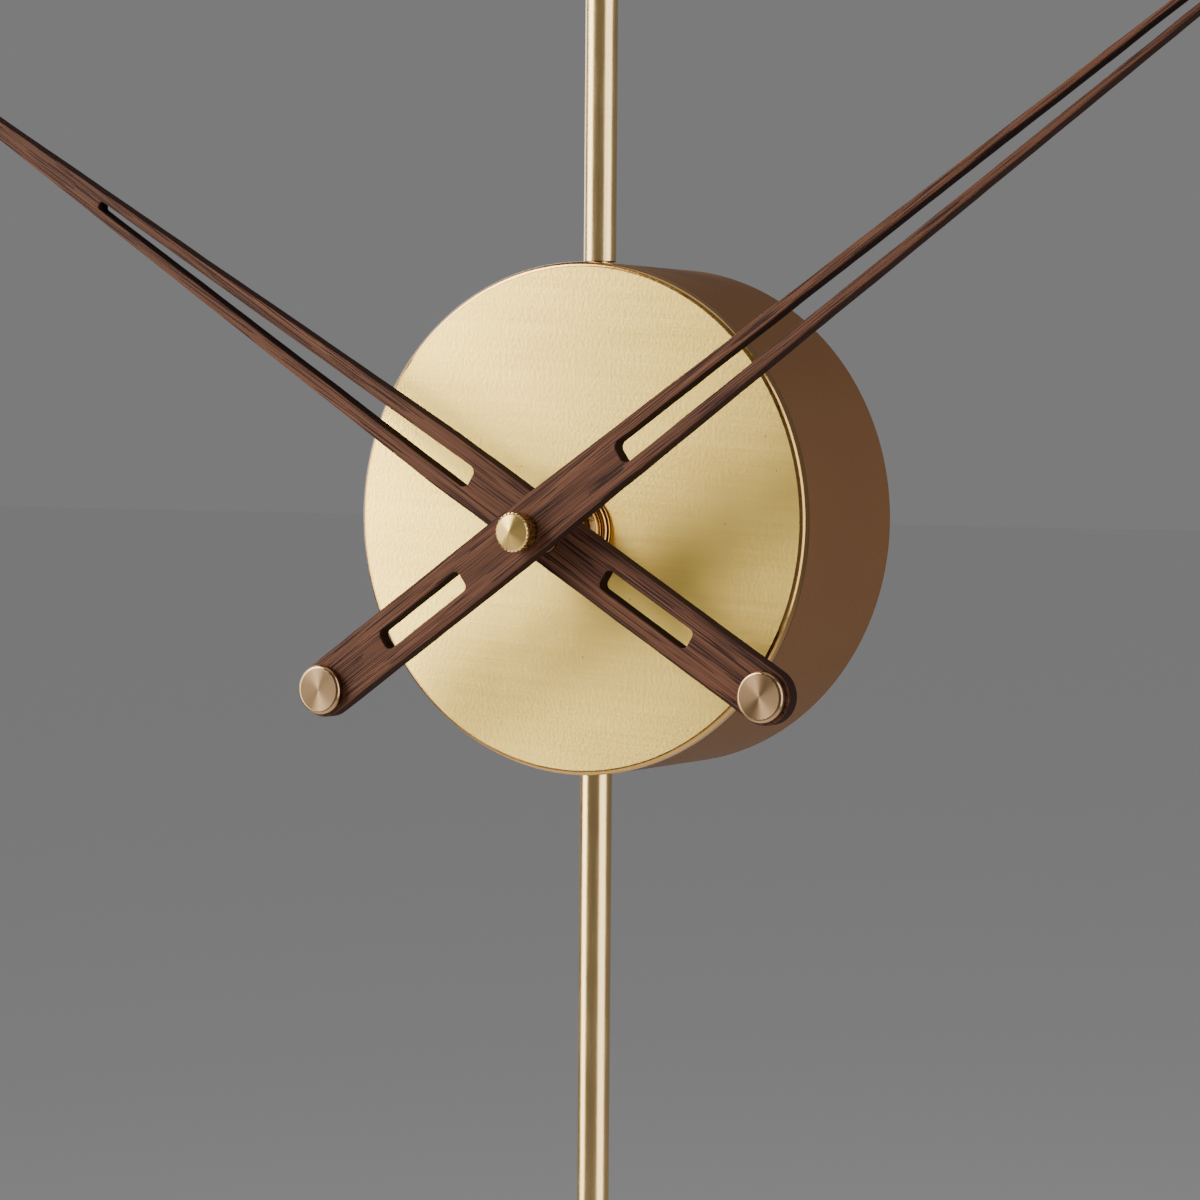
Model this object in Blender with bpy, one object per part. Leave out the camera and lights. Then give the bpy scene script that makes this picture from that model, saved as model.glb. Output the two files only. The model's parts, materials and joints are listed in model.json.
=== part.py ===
"""Pendulum wall clock: a brass drum with two long walnut hands, a fixed stem above and a pendulum below.

Metres, +Z up, the dial faces -Y and the wall is the plane y = 0. Every piece is drawn with its depth
counted from the dial's front face, on a frame that stands one drum depth in front of the wall.
"""

import math

import bmesh
import bpy
from mathutils import Vector
from mathutils.geometry import tessellate_polygon

MM = 0.001

# Clearances
GAP = 0.3 * MM  # between pieces that rest on each other
SEAT = 0.15 * MM  # under the small turned pieces that sit on the hands
RUNNING = 0.2 * MM  # around shafts that turn in a tube or a hole
OVERLAP = 0.5 * MM  # how far fused shapes reach into each other, and cutters past a face

# Drum
DRUM_DIAMETER = 120 * MM
DRUM_DEPTH = 44.5 * MM
SHELL_WALL = 2 * MM
FACE_RIM = 2.6 * MM  # thickness of the dial plate at its rim
FACE_SPIGOT = 1.4 * MM  # the step behind the rim that centres the plate in the shell
FACE_CHAMFER = 1.1 * MM
COVER_THICKNESS = 2 * MM
COVER_SEAT = 1 * MM  # depth of the rebate that the rear cover sits in

# How finely round shapes are cut
DRUM_SEGMENTS = 72
BOB_SEGMENTS = 48
LARGE_SEGMENTS = 32
TURNED_SEGMENTS = 24
SMALL_SEGMENTS = 16
ARBOR_SEGMENTS = 12
FINIAL_STEPS = 9
HAND_TIP_STEPS = 4
HAND_TAIL_STEPS = 14
CAP_EDGE_STEPS = 3
SLOT_END_STEPS = 5
SLOT_END_ROUNDING = 0.98  # share of the slot's half width, so that its ends keep a short flat

# Posts that tie the dial plate to the rear cover, and their screws
POST_COUNT = 4
POST_RADIUS = 3 * MM
POST_INSET = 10 * MM  # from the drum's outside to a post's axis
POST_STUD = 2.2 * MM  # how deep a post screws into the dial plate
SCREW_RADIUS = 1.5 * MM
SCREW_HEAD_RADIUS = 2.9 * MM
SCREW_HEAD_DEPTH = 1.4 * MM
SCREW_LENGTH = 9 * MM
SCREW_SLOT_WIDTH = 0.7 * MM
SCREW_SLOT_DEPTH = 0.6 * MM

# Shaft and dial fixing
SHAFT_DROP = 2.6 * MM  # the hands turn this far below the drum's centre
SHAFT_RADIUS = 2.2 * MM
HOUR_TUBE_WALL = 1.05 * MM
BUSHING_RADIUS = 5 * MM
BUSHING_REACH = 9.4 * MM  # how far the threaded bushing stands in front of the dial
BUSHING_FLANGE = 2.2 * MM
RUBBER_THICKNESS = 1 * MM
RUBBER_RADIUS = 10 * MM
DIAL_WASHER_RADIUS = 9.9 * MM
DIAL_WASHER_THICKNESS = 1.3 * MM
DIAL_NUT_RADIUS = 8.2 * MM
DIAL_NUT_THICKNESS = 3.6 * MM
DIAL_NUT_CHAMFER = 1.2 * MM

# Hands. Distances along a hand are from the shaft, positive towards the tip.
HAND_THICKNESS = 4 * MM
HAND_HALF_WIDTH = 6.5 * MM
TIP_HALF_WIDTH = 0.7 * MM
HOUR_FRONT = 15.6 * MM  # how far the hour hand's front stands in front of the dial
MINUTE_FRONT = 24 * MM
HOUR_REACH = 232 * MM
MINUTE_REACH = 305 * MM
HOUR_TAPER_START = 33 * MM
MINUTE_TAPER_START = -5 * MM
HOUR_TAIL = 68.3 * MM  # from the shaft to the tail cap's centre
MINUTE_TAIL = 66.5 * MM
HOUR_ANGLE = -58.6  # degrees clockwise from twelve
MINUTE_ANGLE = 55.0
SLOT_HALF_WIDTH = 2.7 * MM
TAIL_SLOT_HALF_WIDTH = 2.45 * MM
TAIL_SLOT_SPAN = (-46 * MM, -19.5 * MM)
HOUR_SLOT_SPAN = (22.5 * MM, 150 * MM)
MINUTE_SLOT_SPAN = (31 * MM, 215 * MM)
HOUR_SLOT_FAR_HALF_WIDTH = 1.0 * MM
MINUTE_SLOT_FAR_HALF_WIDTH = 1.3 * MM
SLOT_CORNER = 1.3 * MM
CAP_RADIUS = 5.8 * MM
CAP_THICKNESS = 2 * MM
CAP_EDGE = 0.9 * MM
CAP_STUD_RADIUS = 2 * MM
CAP_STUD_DEPTH = 3 * MM
HUB_WALL = 1.5 * MM  # wall of the bushes pressed into the hands
HUB_FLANGE = 1.2 * MM
NUT_RADIUS = 4.5 * MM
NUT_LENGTH = 3.8 * MM
NUT_CONE = 1.4 * MM
NUT_PIP_RADIUS = 0.35 * MM

# Movement housing
MOVEMENT_WIDTH = 58 * MM
MOVEMENT_HEIGHT = 59 * MM
MOVEMENT_DEPTH = 16.5 * MM
MOVEMENT_SPLIT = 7.2 * MM  # depth of the housing's front half
MOVEMENT_WALL = 1.2 * MM
MOVEMENT_CORNER = 3 * MM
BATTERY_RADIUS = 7.2 * MM
BATTERY_LENGTH = 49 * MM
BATTERY_TIP_RADIUS = 2.6 * MM
BATTERY_TIP = 1.2 * MM
BATTERY_DROP = 20.6 * MM  # from the shaft to the battery's axis
PARTITION_DROP = 12.6 * MM
CONTACT_THICKNESS = 0.5 * MM
CONTACT_HALF_WIDTH = 5 * MM

# Gears: (teeth of the wheel, teeth of the pinion it meshes with, module). A module is twice the
# distance between the two axles over the sum of the teeth.
HOUR_MESH = (32, 8, 25 * MM / 40)
MOTION_MESH = (27, 9, 25 * MM / 36)  # the same distance between centres as the hour mesh
CENTRE_MESH = (45, 6, 20.4 * MM / 51)
THIRD_MESH = (48, 6, 18 * MM / 54)
SECOND_MESH = (30, 6, 15 * MM / 36)
INTERMEDIATE_MESH = (36, 6, 14 * MM / 42)
ADDENDUM = 0.9
DEDENDUM = 1.2
TOOTH_TIP = 0.11  # half of a tooth's width at its tip, in tooth pitches
TOOTH_ROOT = 0.29
WHEEL_ARBOR = 0.5 * MM
MOTION_ARBOR = 1.2 * MM
# Directions from each axle to the next, in degrees anticlockwise from +X as seen from the front
MOTION_DIRECTION = 180
THIRD_DIRECTION = 60
SECOND_DIRECTION = 20
INTERMEDIATE_DIRECTION = 60
ROTOR_DIRECTION = 150

# Layers inside the movement: (start, thickness), counted back from the inside of its front wall
ARBOR_START = 6.5 * MM
ARBOR_END_PLAY = 0.3 * MM  # from an arbor's rear end to the inside of the rear wall
FLANGE_LAYER = (0.3 * MM, 1 * MM)
HOUR_LAYER = (1.8 * MM, 1.2 * MM)
MOTION_PINION_LAYER = (1.5 * MM, 1.8 * MM)
MOTION_LAYER = (3.8 * MM, 1 * MM)
CANNON_LAYER = (3.5 * MM, 1.6 * MM)
MIDDLE_PLATE_LAYER = (5.4 * MM, 0.8 * MM)
CENTRE_LAYER = (6.7 * MM, 0.8 * MM)
THIRD_PINION_LAYER = (6.5 * MM, 1.2 * MM)
CLUTCH_LAYER = (7.8 * MM, 0.4 * MM)
SHAFT_HEAD_LAYER = (8.5 * MM, 0.5 * MM)
THIRD_LAYER = (9.4 * MM, 0.7 * MM)
SECOND_PINION_LAYER = (9.2 * MM, 1.1 * MM)
SECOND_LAYER = (10.9 * MM, 0.6 * MM)
INTERMEDIATE_PINION_LAYER = (10.7 * MM, 1 * MM)
INTERMEDIATE_LAYER = (12.3 * MM, 0.6 * MM)
ROTOR_PINION_LAYER = (12.1 * MM, 1 * MM)
STATOR_LAYER = (6.6 * MM, 1 * MM)
ROTOR_MAGNET_LAYER = (6.8 * MM, 3.4 * MM)
PENDULUM_COIL_LAYER = (9.7 * MM, 4 * MM)
BOARD_LAYER = (10.7 * MM, 1 * MM)
COIL_AXIS_DEPTH = 10.8 * MM

# Electrical parts
CLUTCH_RADIUS = 4.4 * MM
SHAFT_HEAD_RADIUS = 3 * MM
ROTOR_MAGNET_RADIUS = 3 * MM
STATOR_HALF_HEIGHT = 4.9 * MM
STATOR_ENDS = (-25 * MM, 15.9 * MM)
COIL_RADIUS = 2.7 * MM
COIL_WINDING_RADIUS = 2.2 * MM
COIL_ENDS = (-22 * MM, 2 * MM)
COIL_FLANGE = 1 * MM
COIL_CORE_RADIUS = 0.8 * MM
BOARD_BOX = (-27 * MM, 3 * MM, -7.5 * MM, 15 * MM)  # x and z of two corners, from the shaft
PENDULUM_COIL_RADIUS = 6 * MM
PENDULUM_COIL_BORE = 2 * MM
PENDULUM_COIL_DROP = 5 * MM

# Setting knob
KNOB_RADIUS = 6 * MM
KNOB_STEM_RADIUS = 2.5 * MM
KNOB_GRIP = 9 * MM
KNOB_SOCKET = 2 * MM
KNOB_CLEARANCE = 1 * MM  # from the knob's end to the rear cover
KNOB_HOLE_MARGIN = 2 * MM

# Rear cover openings
WINDOW_MARGIN = 3 * MM  # around the battery
KEYHOLE_RISE = 38 * MM
KEYHOLE_RADIUS = 4.6 * MM
KEYHOLE_SLOT_HALF_WIDTH = 2.3 * MM
KEYHOLE_SLOT_RISE = 9 * MM

# Stem and pendulum
ROD_RADIUS = 3.8 * MM
ROD_DEPTH = 10.6 * MM  # from the dial's front to the rods' axis
STEM_TOP = 222 * MM
SPIGOT_RADIUS = 2.5 * MM
SPIGOT_LENGTH = 8 * MM
STEM_NUT_RADIUS = 4.6 * MM
STEM_NUT_HEIGHT = 4 * MM
STEM_WASHER_RADIUS = 5 * MM
STEM_WASHER_THICKNESS = 1 * MM
FINIAL_RADIUS = 7.5 * MM
FINIAL_NECK_RADIUS = 4.6 * MM
FINIAL_NECK = 4 * MM
PIVOT_RISE = 24 * MM  # from the shaft to the pendulum's pivot
PIVOT_RADIUS = 1.5 * MM
PIVOT_HEAD_RADIUS = 2.6 * MM
PIVOT_HEAD = 1 * MM
PIVOT_BOSS_RADIUS = 3.5 * MM
PIVOT_BOSS = 1.5 * MM
PIVOT_CLEARANCE = 0.1 * MM
PENDULUM_SWING = 4.0  # degrees to each side
HANGER_THICKNESS = 1.4 * MM
HANGER_HALF_WIDTH = 4 * MM
HANGER_HEAD = 5 * MM
SHELF_CLEARANCE = 10 * MM  # from the movement's underside to the hanger's shelf
MAGNET_RADIUS = 3.5 * MM
MAGNET_THICKNESS = 1.4 * MM
ROD_SPIGOT_RADIUS = 2 * MM
ROD_NUT_RADIUS = 3.8 * MM
ROD_NUT_HEIGHT = 3 * MM
BOB_RADIUS = 27 * MM
BOB_THICKNESS = 12 * MM
BOB_CHAMFER = 1.2 * MM
BOB_DROP = 380 * MM  # from the drum's centre to the bob's centre
RATING_NUT_RADIUS = 5 * MM
RATING_NUT_HEIGHT = 6 * MM
SLOT_SIDE_CLEARANCE = 1.2 * MM

DRUM_RADIUS = DRUM_DIAMETER / 2
SHELL_BORE = DRUM_RADIUS - SHELL_WALL
SHAFT_Z = -SHAFT_DROP
FACE_BACK = FACE_RIM + FACE_SPIGOT
COVER_FRONT = DRUM_DEPTH - COVER_THICKNESS
COVER_RADIUS = SHELL_BORE + COVER_SEAT - GAP
MOVEMENT_FRONT = FACE_BACK + GAP + RUBBER_THICKNESS + GAP
MOVEMENT_BACK = MOVEMENT_FRONT + MOVEMENT_DEPTH
INSIDE_FRONT = MOVEMENT_FRONT + MOVEMENT_WALL
INSIDE_BACK = MOVEMENT_BACK - MOVEMENT_WALL
ARBOR_SPAN = (INSIDE_FRONT + ARBOR_START, INSIDE_BACK - ARBOR_END_PLAY)
MOVEMENT_LOW = SHAFT_Z - MOVEMENT_HEIGHT / 2
HOUR_TUBE_BORE = SHAFT_RADIUS + RUNNING
HOUR_TUBE_RADIUS = HOUR_TUBE_BORE + HOUR_TUBE_WALL
BUSHING_BORE = HOUR_TUBE_RADIUS + RUNNING
NUT_BORE = SHAFT_RADIUS + SEAT
SHAFT_TIP = MINUTE_FRONT + NUT_LENGTH - 2 * GAP
PIVOT_Z = SHAFT_Z + PIVOT_RISE
HANGER_FRONT = MOVEMENT_BACK + PIVOT_BOSS + 2 * GAP
HANGER_BACK = HANGER_FRONT + HANGER_THICKNESS
SHELF_TOP = MOVEMENT_LOW - SHELF_CLEARANCE
SHELF_BOTTOM = SHELF_TOP - HANGER_THICKNESS
BOB_Z = -BOB_DROP
BOB_TOP = BOB_Z + BOB_RADIUS
BOB_BOTTOM = BOB_Z - BOB_RADIUS


# Shapes. An outline is a list of (across, up) points, and a profile a list of (radius, along) points.


def circle(radius, count, across=0.0, up=0.0):
    turn = 2 * math.pi / count
    return [(across + radius * math.cos(i * turn), up + radius * math.sin(i * turn)) for i in range(count)]


def arc(across, up, radius, start, end, steps):
    """Points along an arc, from the angle start to the angle end, in degrees."""
    angles = [math.radians(start + (end - start) * i / steps) for i in range(steps + 1)]
    return [(across + radius * math.cos(a), up + radius * math.sin(a)) for a in angles]


def rectangle(left, low, right, high):
    return [(left, low), (right, low), (right, high), (left, high)]


def rounded(corners, radius, steps=3):
    """The outline through these corners with each one rounded off by an arc."""
    points = []
    for i, corner in enumerate(corners):
        here = Vector(corner)
        back = (Vector(corners[i - 1]) - here).normalized()
        ahead = (Vector(corners[(i + 1) % len(corners)]) - here).normalized()
        half = back.angle(ahead) / 2
        centre = here + (back + ahead).normalized() * radius / math.sin(half)
        first = here + back * radius / math.tan(half) - centre
        last = here + ahead * radius / math.tan(half) - centre
        start = math.atan2(first.y, first.x)
        sweep = (math.atan2(last.y, last.x) - start + math.pi) % (2 * math.pi) - math.pi
        for step in range(steps + 1):
            angle = start + sweep * step / steps
            points.append((centre.x + radius * math.cos(angle), centre.y + radius * math.sin(angle)))
    return points


def gear_outline(teeth, module, tooth_angle):
    """A gear's outline, with one of its teeth centred on tooth_angle (degrees)."""
    pitch = 2 * math.pi / teeth
    root = module * (teeth / 2 - DEDENDUM)
    tip = module * (teeth / 2 + ADDENDUM)
    corners = ((root, -TOOTH_ROOT), (tip, -TOOTH_TIP), (tip, TOOTH_TIP), (root, TOOTH_ROOT))
    points = []
    for i in range(teeth):
        for radius, shift in corners:
            angle = math.radians(tooth_angle) + (i + shift) * pitch
            points.append((radius * math.cos(angle), radius * math.sin(angle)))
    return points


# How each builder's own (across, up, along) axes lie in the clock's frame
AXES = {
    "Y": lambda across, up, along: (across, along, up),
    "X": lambda across, up, along: (along, across, up),
    "Z": lambda across, up, along: (across, up, along),
}


def prism(outline, low, high, holes=(), axis="Y"):
    """A flat-ended solid of this outline, from low to high along the axis, with holes right through."""
    mesh = bmesh.new()
    loops = [outline, *holes]
    ends = [[[mesh.verts.new(AXES[axis](a, u, at)) for a, u in loop] for loop in loops] for at in (low, high)]
    for end in ends:
        flat = [vert for loop in end for vert in loop]
        for triangle in tessellate_polygon([[Vector((a, u, 0)) for a, u in loop] for loop in loops]):
            mesh.faces.new([flat[i] for i in triangle])
    for near, far in zip(*ends):
        for i in range(len(near)):
            mesh.faces.new((near[i - 1], near[i], far[i], far[i - 1]))
    bmesh.ops.recalc_face_normals(mesh, faces=mesh.faces)
    return mesh


def lathe(profile, segments, axis="Y"):
    """A turned solid. A profile that begins and ends on the axis is solid, any other is a ring."""
    mesh = bmesh.new()
    rings = []
    for radius, along in profile:
        if radius > 0:
            rings.append([mesh.verts.new(AXES[axis](a, u, along)) for a, u in circle(radius, segments)])
        else:
            rings.append([mesh.verts.new(AXES[axis](0, 0, along))] * segments)
    solid_core = profile[0][0] == 0
    for i in range(1 if solid_core else 0, len(rings)):
        near, far = rings[i - 1], rings[i]
        for j in range(segments):
            corners = (near[j - 1], near[j], far[j], far[j - 1])
            mesh.faces.new(dict.fromkeys(corners))
    bmesh.ops.recalc_face_normals(mesh, faces=mesh.faces)
    return mesh


def cylinder(radius, low, high, segments, axis="Y"):
    return lathe([(0, low), (radius, low), (radius, high), (0, high)], segments, axis)


def ring(inner, outer, low, high, segments, axis="Y"):
    return lathe([(inner, low), (outer, low), (outer, high), (inner, high)], segments, axis)


# Objects

for old in list(bpy.data.objects):
    bpy.data.objects.remove(old)


def material(name, colour, metallic, roughness):
    made = bpy.data.materials.new(name)
    made.use_nodes = True
    shader = made.node_tree.nodes["Principled BSDF"]
    shader.inputs["Base Color"].default_value = (*colour, 1)
    shader.inputs["Metallic"].default_value = metallic
    shader.inputs["Roughness"].default_value = roughness
    made.diffuse_color = (*colour, 1)
    return made


BRUSHED_BRASS = material("brushed_brass", (0.78, 0.63, 0.38), 1, 0.35)
POLISHED_BRASS = material("polished_brass", (0.86, 0.68, 0.40), 1, 0.12)
ROSE_BRASS = material("rose_brass", (0.72, 0.55, 0.40), 1, 0.25)
BRONZE_FINISH = material("bronze_finish", (0.13, 0.07, 0.03), 0.6, 0.45)
WALNUT = material("walnut", (0.20, 0.10, 0.06), 0, 0.6)
STEEL = material("steel", (0.55, 0.55, 0.55), 1, 0.35)
RUBBER = material("rubber", (0.03, 0.03, 0.03), 0, 0.8)
HOUSING_PLASTIC = material("housing_plastic", (0.05, 0.05, 0.055), 0, 0.5)
GEAR_PLASTIC = material("gear_plastic", (0.80, 0.78, 0.70), 0, 0.45)
COPPER_WIRE = material("copper_wire", (0.60, 0.25, 0.10), 1, 0.35)
BOARD_GREEN = material("board_green", (0.03, 0.22, 0.08), 0, 0.4)
BATTERY_JACKET = material("battery_jacket", (0.15, 0.16, 0.18), 0.2, 0.35)
MAGNET_PLATING = material("magnet_plating", (0.62, 0.62, 0.64), 1, 0.25)


def empty(name, location, parent=None):
    made = bpy.data.objects.new(name, None)
    made.location = location
    made.parent = parent
    bpy.context.scene.collection.objects.link(made)
    return made


def solid(name, mesh, finish, parent, smooth=False):
    """One piece of the clock, drawn in its parent's frame."""
    data = bpy.data.meshes.new(name)
    mesh.to_mesh(data)
    mesh.free()
    data.materials.append(finish)
    if smooth:
        data.shade_smooth()
        data.set_sharp_from_angle(angle=math.radians(35))
    made = bpy.data.objects.new(name, data)
    made.parent = parent
    bpy.context.scene.collection.objects.link(made)
    return made


def combine(target, operation, mesh, name, place=(0, 0, 0)):
    """Cuts this shape from the piece, or fuses it on, with a Boolean that stays on the piece."""
    helper = solid(name, mesh, target.data.materials[0], target.parent)
    helper.location = place
    helper.hide_render = True
    helper.display_type = "WIRE"
    boolean = target.modifiers.new(name, "BOOLEAN")
    boolean.operation = operation
    boolean.solver = "EXACT"
    boolean.object = helper


def cut(target, mesh, name, place=(0, 0, 0)):
    combine(target, "DIFFERENCE", mesh, name + "_cutter", place)


def fuse(target, mesh, name, place=(0, 0, 0)):
    combine(target, "UNION", mesh, name + "_form", place)


def layer(span):
    """A movement layer's front and back, as depths behind the dial's front."""
    start, thickness = span
    return INSIDE_FRONT + start, INSIDE_FRONT + start + thickness


def step_from(place, direction, distance):
    angle = math.radians(direction)
    return (place[0] + distance * math.cos(angle), place[1] + distance * math.sin(angle))


def centre_distance(mesh):
    wheel, pinion, module = mesh
    return module * (wheel + pinion) / 2


SHAFT = (0.0, SHAFT_Z)
MOTION = step_from(SHAFT, MOTION_DIRECTION, centre_distance(HOUR_MESH))
THIRD = step_from(SHAFT, THIRD_DIRECTION, centre_distance(CENTRE_MESH))
SECOND = step_from(THIRD, SECOND_DIRECTION, centre_distance(THIRD_MESH))
INTERMEDIATE = step_from(SECOND, INTERMEDIATE_DIRECTION, centre_distance(SECOND_MESH))
ROTOR = step_from(INTERMEDIATE, ROTOR_DIRECTION, centre_distance(INTERMEDIATE_MESH))


def axis_empty(name, place):
    return empty(name, (place[0], 0, place[1]), CASE)


CASE = empty("case_frame", (0, -DRUM_DEPTH, 0))
SHAFT_AXIS = axis_empty("shaft_axis", SHAFT)
MOTION_AXIS = axis_empty("motion_axis", MOTION)
THIRD_AXIS = axis_empty("third_axis", THIRD)
SECOND_AXIS = axis_empty("second_axis", SECOND)
INTERMEDIATE_AXIS = axis_empty("intermediate_axis", INTERMEDIATE)
ROTOR_AXIS = axis_empty("rotor_axis", ROTOR)
PENDULUM_AXIS = axis_empty("pendulum_axis", (0, PIVOT_Z))


def post_places():
    reach = DRUM_RADIUS - POST_INSET
    return [step_from((0, 0), 360 * (i + 0.5) / POST_COUNT, reach) for i in range(POST_COUNT)]


# Drum


def make_case_shell():
    front = FACE_RIM + GAP
    profile = [
        (SHELL_BORE, front),
        (DRUM_RADIUS, front),
        (DRUM_RADIUS, DRUM_DEPTH),
        (SHELL_BORE + COVER_SEAT, DRUM_DEPTH),
        (SHELL_BORE + COVER_SEAT, COVER_FRONT - GAP),
        (SHELL_BORE, COVER_FRONT - GAP),
    ]
    shell = solid("case_shell", lathe(profile, DRUM_SEGMENTS), BRONZE_FINISH, CASE, smooth=True)
    reach = DRUM_RADIUS + OVERLAP
    stem_hole = cylinder(SPIGOT_RADIUS + GAP, 0, reach, TURNED_SEGMENTS, "Z")
    cut(shell, stem_hole, "stem_hole", (0, ROD_DEPTH, 0))
    swing = (PIVOT_Z + DRUM_RADIUS) * math.tan(math.radians(PENDULUM_SWING))
    half_length = swing + ROD_RADIUS + SLOT_SIDE_CLEARANCE
    half_width = ROD_RADIUS + SLOT_SIDE_CLEARANCE
    corners = rectangle(-half_length, -half_width, half_length, half_width)
    slot = prism(rounded(corners, half_width * SLOT_END_ROUNDING, SLOT_END_STEPS), -reach, 0, axis="Z")
    cut(shell, slot, "pendulum_slot", (0, ROD_DEPTH, 0))


def make_face_plate():
    spigot_radius = SHELL_BORE - GAP
    profile = [
        (0, 0),
        (DRUM_RADIUS - FACE_CHAMFER, 0),
        (DRUM_RADIUS, FACE_CHAMFER),
        (DRUM_RADIUS, FACE_RIM),
        (spigot_radius, FACE_RIM),
        (spigot_radius, FACE_BACK),
        (0, FACE_BACK),
    ]
    plate = solid("face_plate", lathe(profile, DRUM_SEGMENTS), BRUSHED_BRASS, CASE, smooth=True)
    bushing_hole = cylinder(BUSHING_RADIUS + GAP, -OVERLAP, FACE_BACK + OVERLAP, TURNED_SEGMENTS)
    cut(plate, bushing_hole, "bushing_hole", (0, 0, SHAFT_Z))
    for i, (x, z) in enumerate(post_places()):
        stud_hole = cylinder(SCREW_RADIUS + GAP, FACE_BACK - POST_STUD - GAP, FACE_BACK + OVERLAP, ARBOR_SEGMENTS)
        cut(plate, stud_hole, f"stud_hole_{i + 1}", (x, 0, z))


def keyhole_outline():
    """A round entry for a screw's head, with a narrow slot above it for its shank."""
    half_angle = math.degrees(math.asin(KEYHOLE_SLOT_HALF_WIDTH / KEYHOLE_RADIUS))
    entry = arc(0, KEYHOLE_RISE, KEYHOLE_RADIUS, 90 + half_angle, 450 - half_angle, ARBOR_SEGMENTS)
    slot = arc(0, KEYHOLE_RISE + KEYHOLE_SLOT_RISE, KEYHOLE_SLOT_HALF_WIDTH, 0, 180, 8)
    return entry + slot


def make_rear_cover():
    battery_z = SHAFT_Z - BATTERY_DROP
    half_width = BATTERY_LENGTH / 2 + WINDOW_MARGIN
    half_height = BATTERY_RADIUS + WINDOW_MARGIN
    corners = rectangle(-half_width, battery_z - half_height, half_width, battery_z + half_height)
    holes = [
        keyhole_outline(),
        rounded(corners, MOVEMENT_CORNER),
        circle(KNOB_RADIUS + KNOB_HOLE_MARGIN, TURNED_SEGMENTS, *MOTION),
    ]
    plate = prism(circle(COVER_RADIUS, DRUM_SEGMENTS), COVER_FRONT, DRUM_DEPTH, holes)
    cover = solid("rear_cover", plate, BRONZE_FINISH, CASE)
    shank = SCREW_RADIUS + GAP
    head = SCREW_HEAD_RADIUS + GAP
    sink = DRUM_DEPTH - SCREW_HEAD_DEPTH - GAP
    profile = [
        (0, COVER_FRONT - OVERLAP),
        (shank, COVER_FRONT - OVERLAP),
        (shank, sink),
        (head, DRUM_DEPTH),
        (head, DRUM_DEPTH + OVERLAP),
        (0, DRUM_DEPTH + OVERLAP),
    ]
    for i, (x, z) in enumerate(post_places()):
        cut(cover, lathe(profile, ARBOR_SEGMENTS), f"countersink_{i + 1}", (x, 0, z))


def make_posts():
    """Posts between the dial plate and the rear cover, which hold the shell between them."""
    thread_bore = SCREW_RADIUS + GAP
    back = COVER_FRONT - GAP
    profile = [
        (0, FACE_BACK - POST_STUD),
        (SCREW_RADIUS, FACE_BACK - POST_STUD),
        (SCREW_RADIUS, FACE_BACK + GAP),
        (POST_RADIUS, FACE_BACK + GAP),
        (POST_RADIUS, back),
        (thread_bore, back),
        (thread_bore, back - SCREW_LENGTH),
        (0, back - SCREW_LENGTH),
    ]
    for i, (x, z) in enumerate(post_places()):
        post = solid(f"standoff_{i + 1}", lathe(profile, ARBOR_SEGMENTS), STEEL, CASE, smooth=True)
        post.location = (x, 0, z)


def make_cover_screws():
    back = DRUM_DEPTH - GAP
    profile = [
        (0, back - SCREW_LENGTH),
        (SCREW_RADIUS, back - SCREW_LENGTH),
        (SCREW_RADIUS, back - SCREW_HEAD_DEPTH),
        (SCREW_HEAD_RADIUS, back),
        (0, back),
    ]
    half = SCREW_SLOT_WIDTH / 2
    reach = SCREW_HEAD_RADIUS + OVERLAP
    for i, (x, z) in enumerate(post_places()):
        screw = solid(f"cover_screw_{i + 1}", lathe(profile, ARBOR_SEGMENTS), STEEL, CASE, smooth=True)
        screw.location = (x, 0, z)
        slot = prism(rectangle(-reach, -half, reach, half), back - SCREW_SLOT_DEPTH, back + OVERLAP)
        cut(screw, slot, f"screw_slot_{i + 1}", (x, 0, z))


# Stem above the drum


def make_stem():
    foot = DRUM_RADIUS + GAP
    profile = [
        (0, foot - SPIGOT_LENGTH),
        (SPIGOT_RADIUS, foot - SPIGOT_LENGTH),
        (SPIGOT_RADIUS, foot),
        (ROD_RADIUS, foot),
        (ROD_RADIUS, STEM_TOP),
        (SPIGOT_RADIUS, STEM_TOP),
        (SPIGOT_RADIUS, STEM_TOP + FINIAL_NECK),
        (0, STEM_TOP + FINIAL_NECK),
    ]
    stem = solid("upper_stem", lathe(profile, TURNED_SEGMENTS, "Z"), POLISHED_BRASS, CASE, smooth=True)
    stem.location = (0, ROD_DEPTH, 0)


def make_stem_fixing():
    bore = SPIGOT_RADIUS + SEAT
    # The shell curves away from the flat washer, so the washer sits below the lowest point it covers.
    washer_top = math.sqrt(SHELL_BORE**2 - STEM_WASHER_RADIUS**2) - GAP
    washer_low = washer_top - STEM_WASHER_THICKNESS
    washer_mesh = ring(bore, STEM_WASHER_RADIUS, washer_low, washer_top, SMALL_SEGMENTS, "Z")
    washer = solid("stem_washer", washer_mesh, STEEL, CASE, smooth=True)
    washer.location = (0, ROD_DEPTH, 0)
    nut_top = washer_low - GAP
    hexagon = circle(STEM_NUT_RADIUS, 6)
    nut_mesh = prism(hexagon, nut_top - STEM_NUT_HEIGHT, nut_top, [circle(bore, SMALL_SEGMENTS)], "Z")
    nut = solid("stem_nut", nut_mesh, STEEL, CASE)
    nut.location = (0, ROD_DEPTH, 0)


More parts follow.
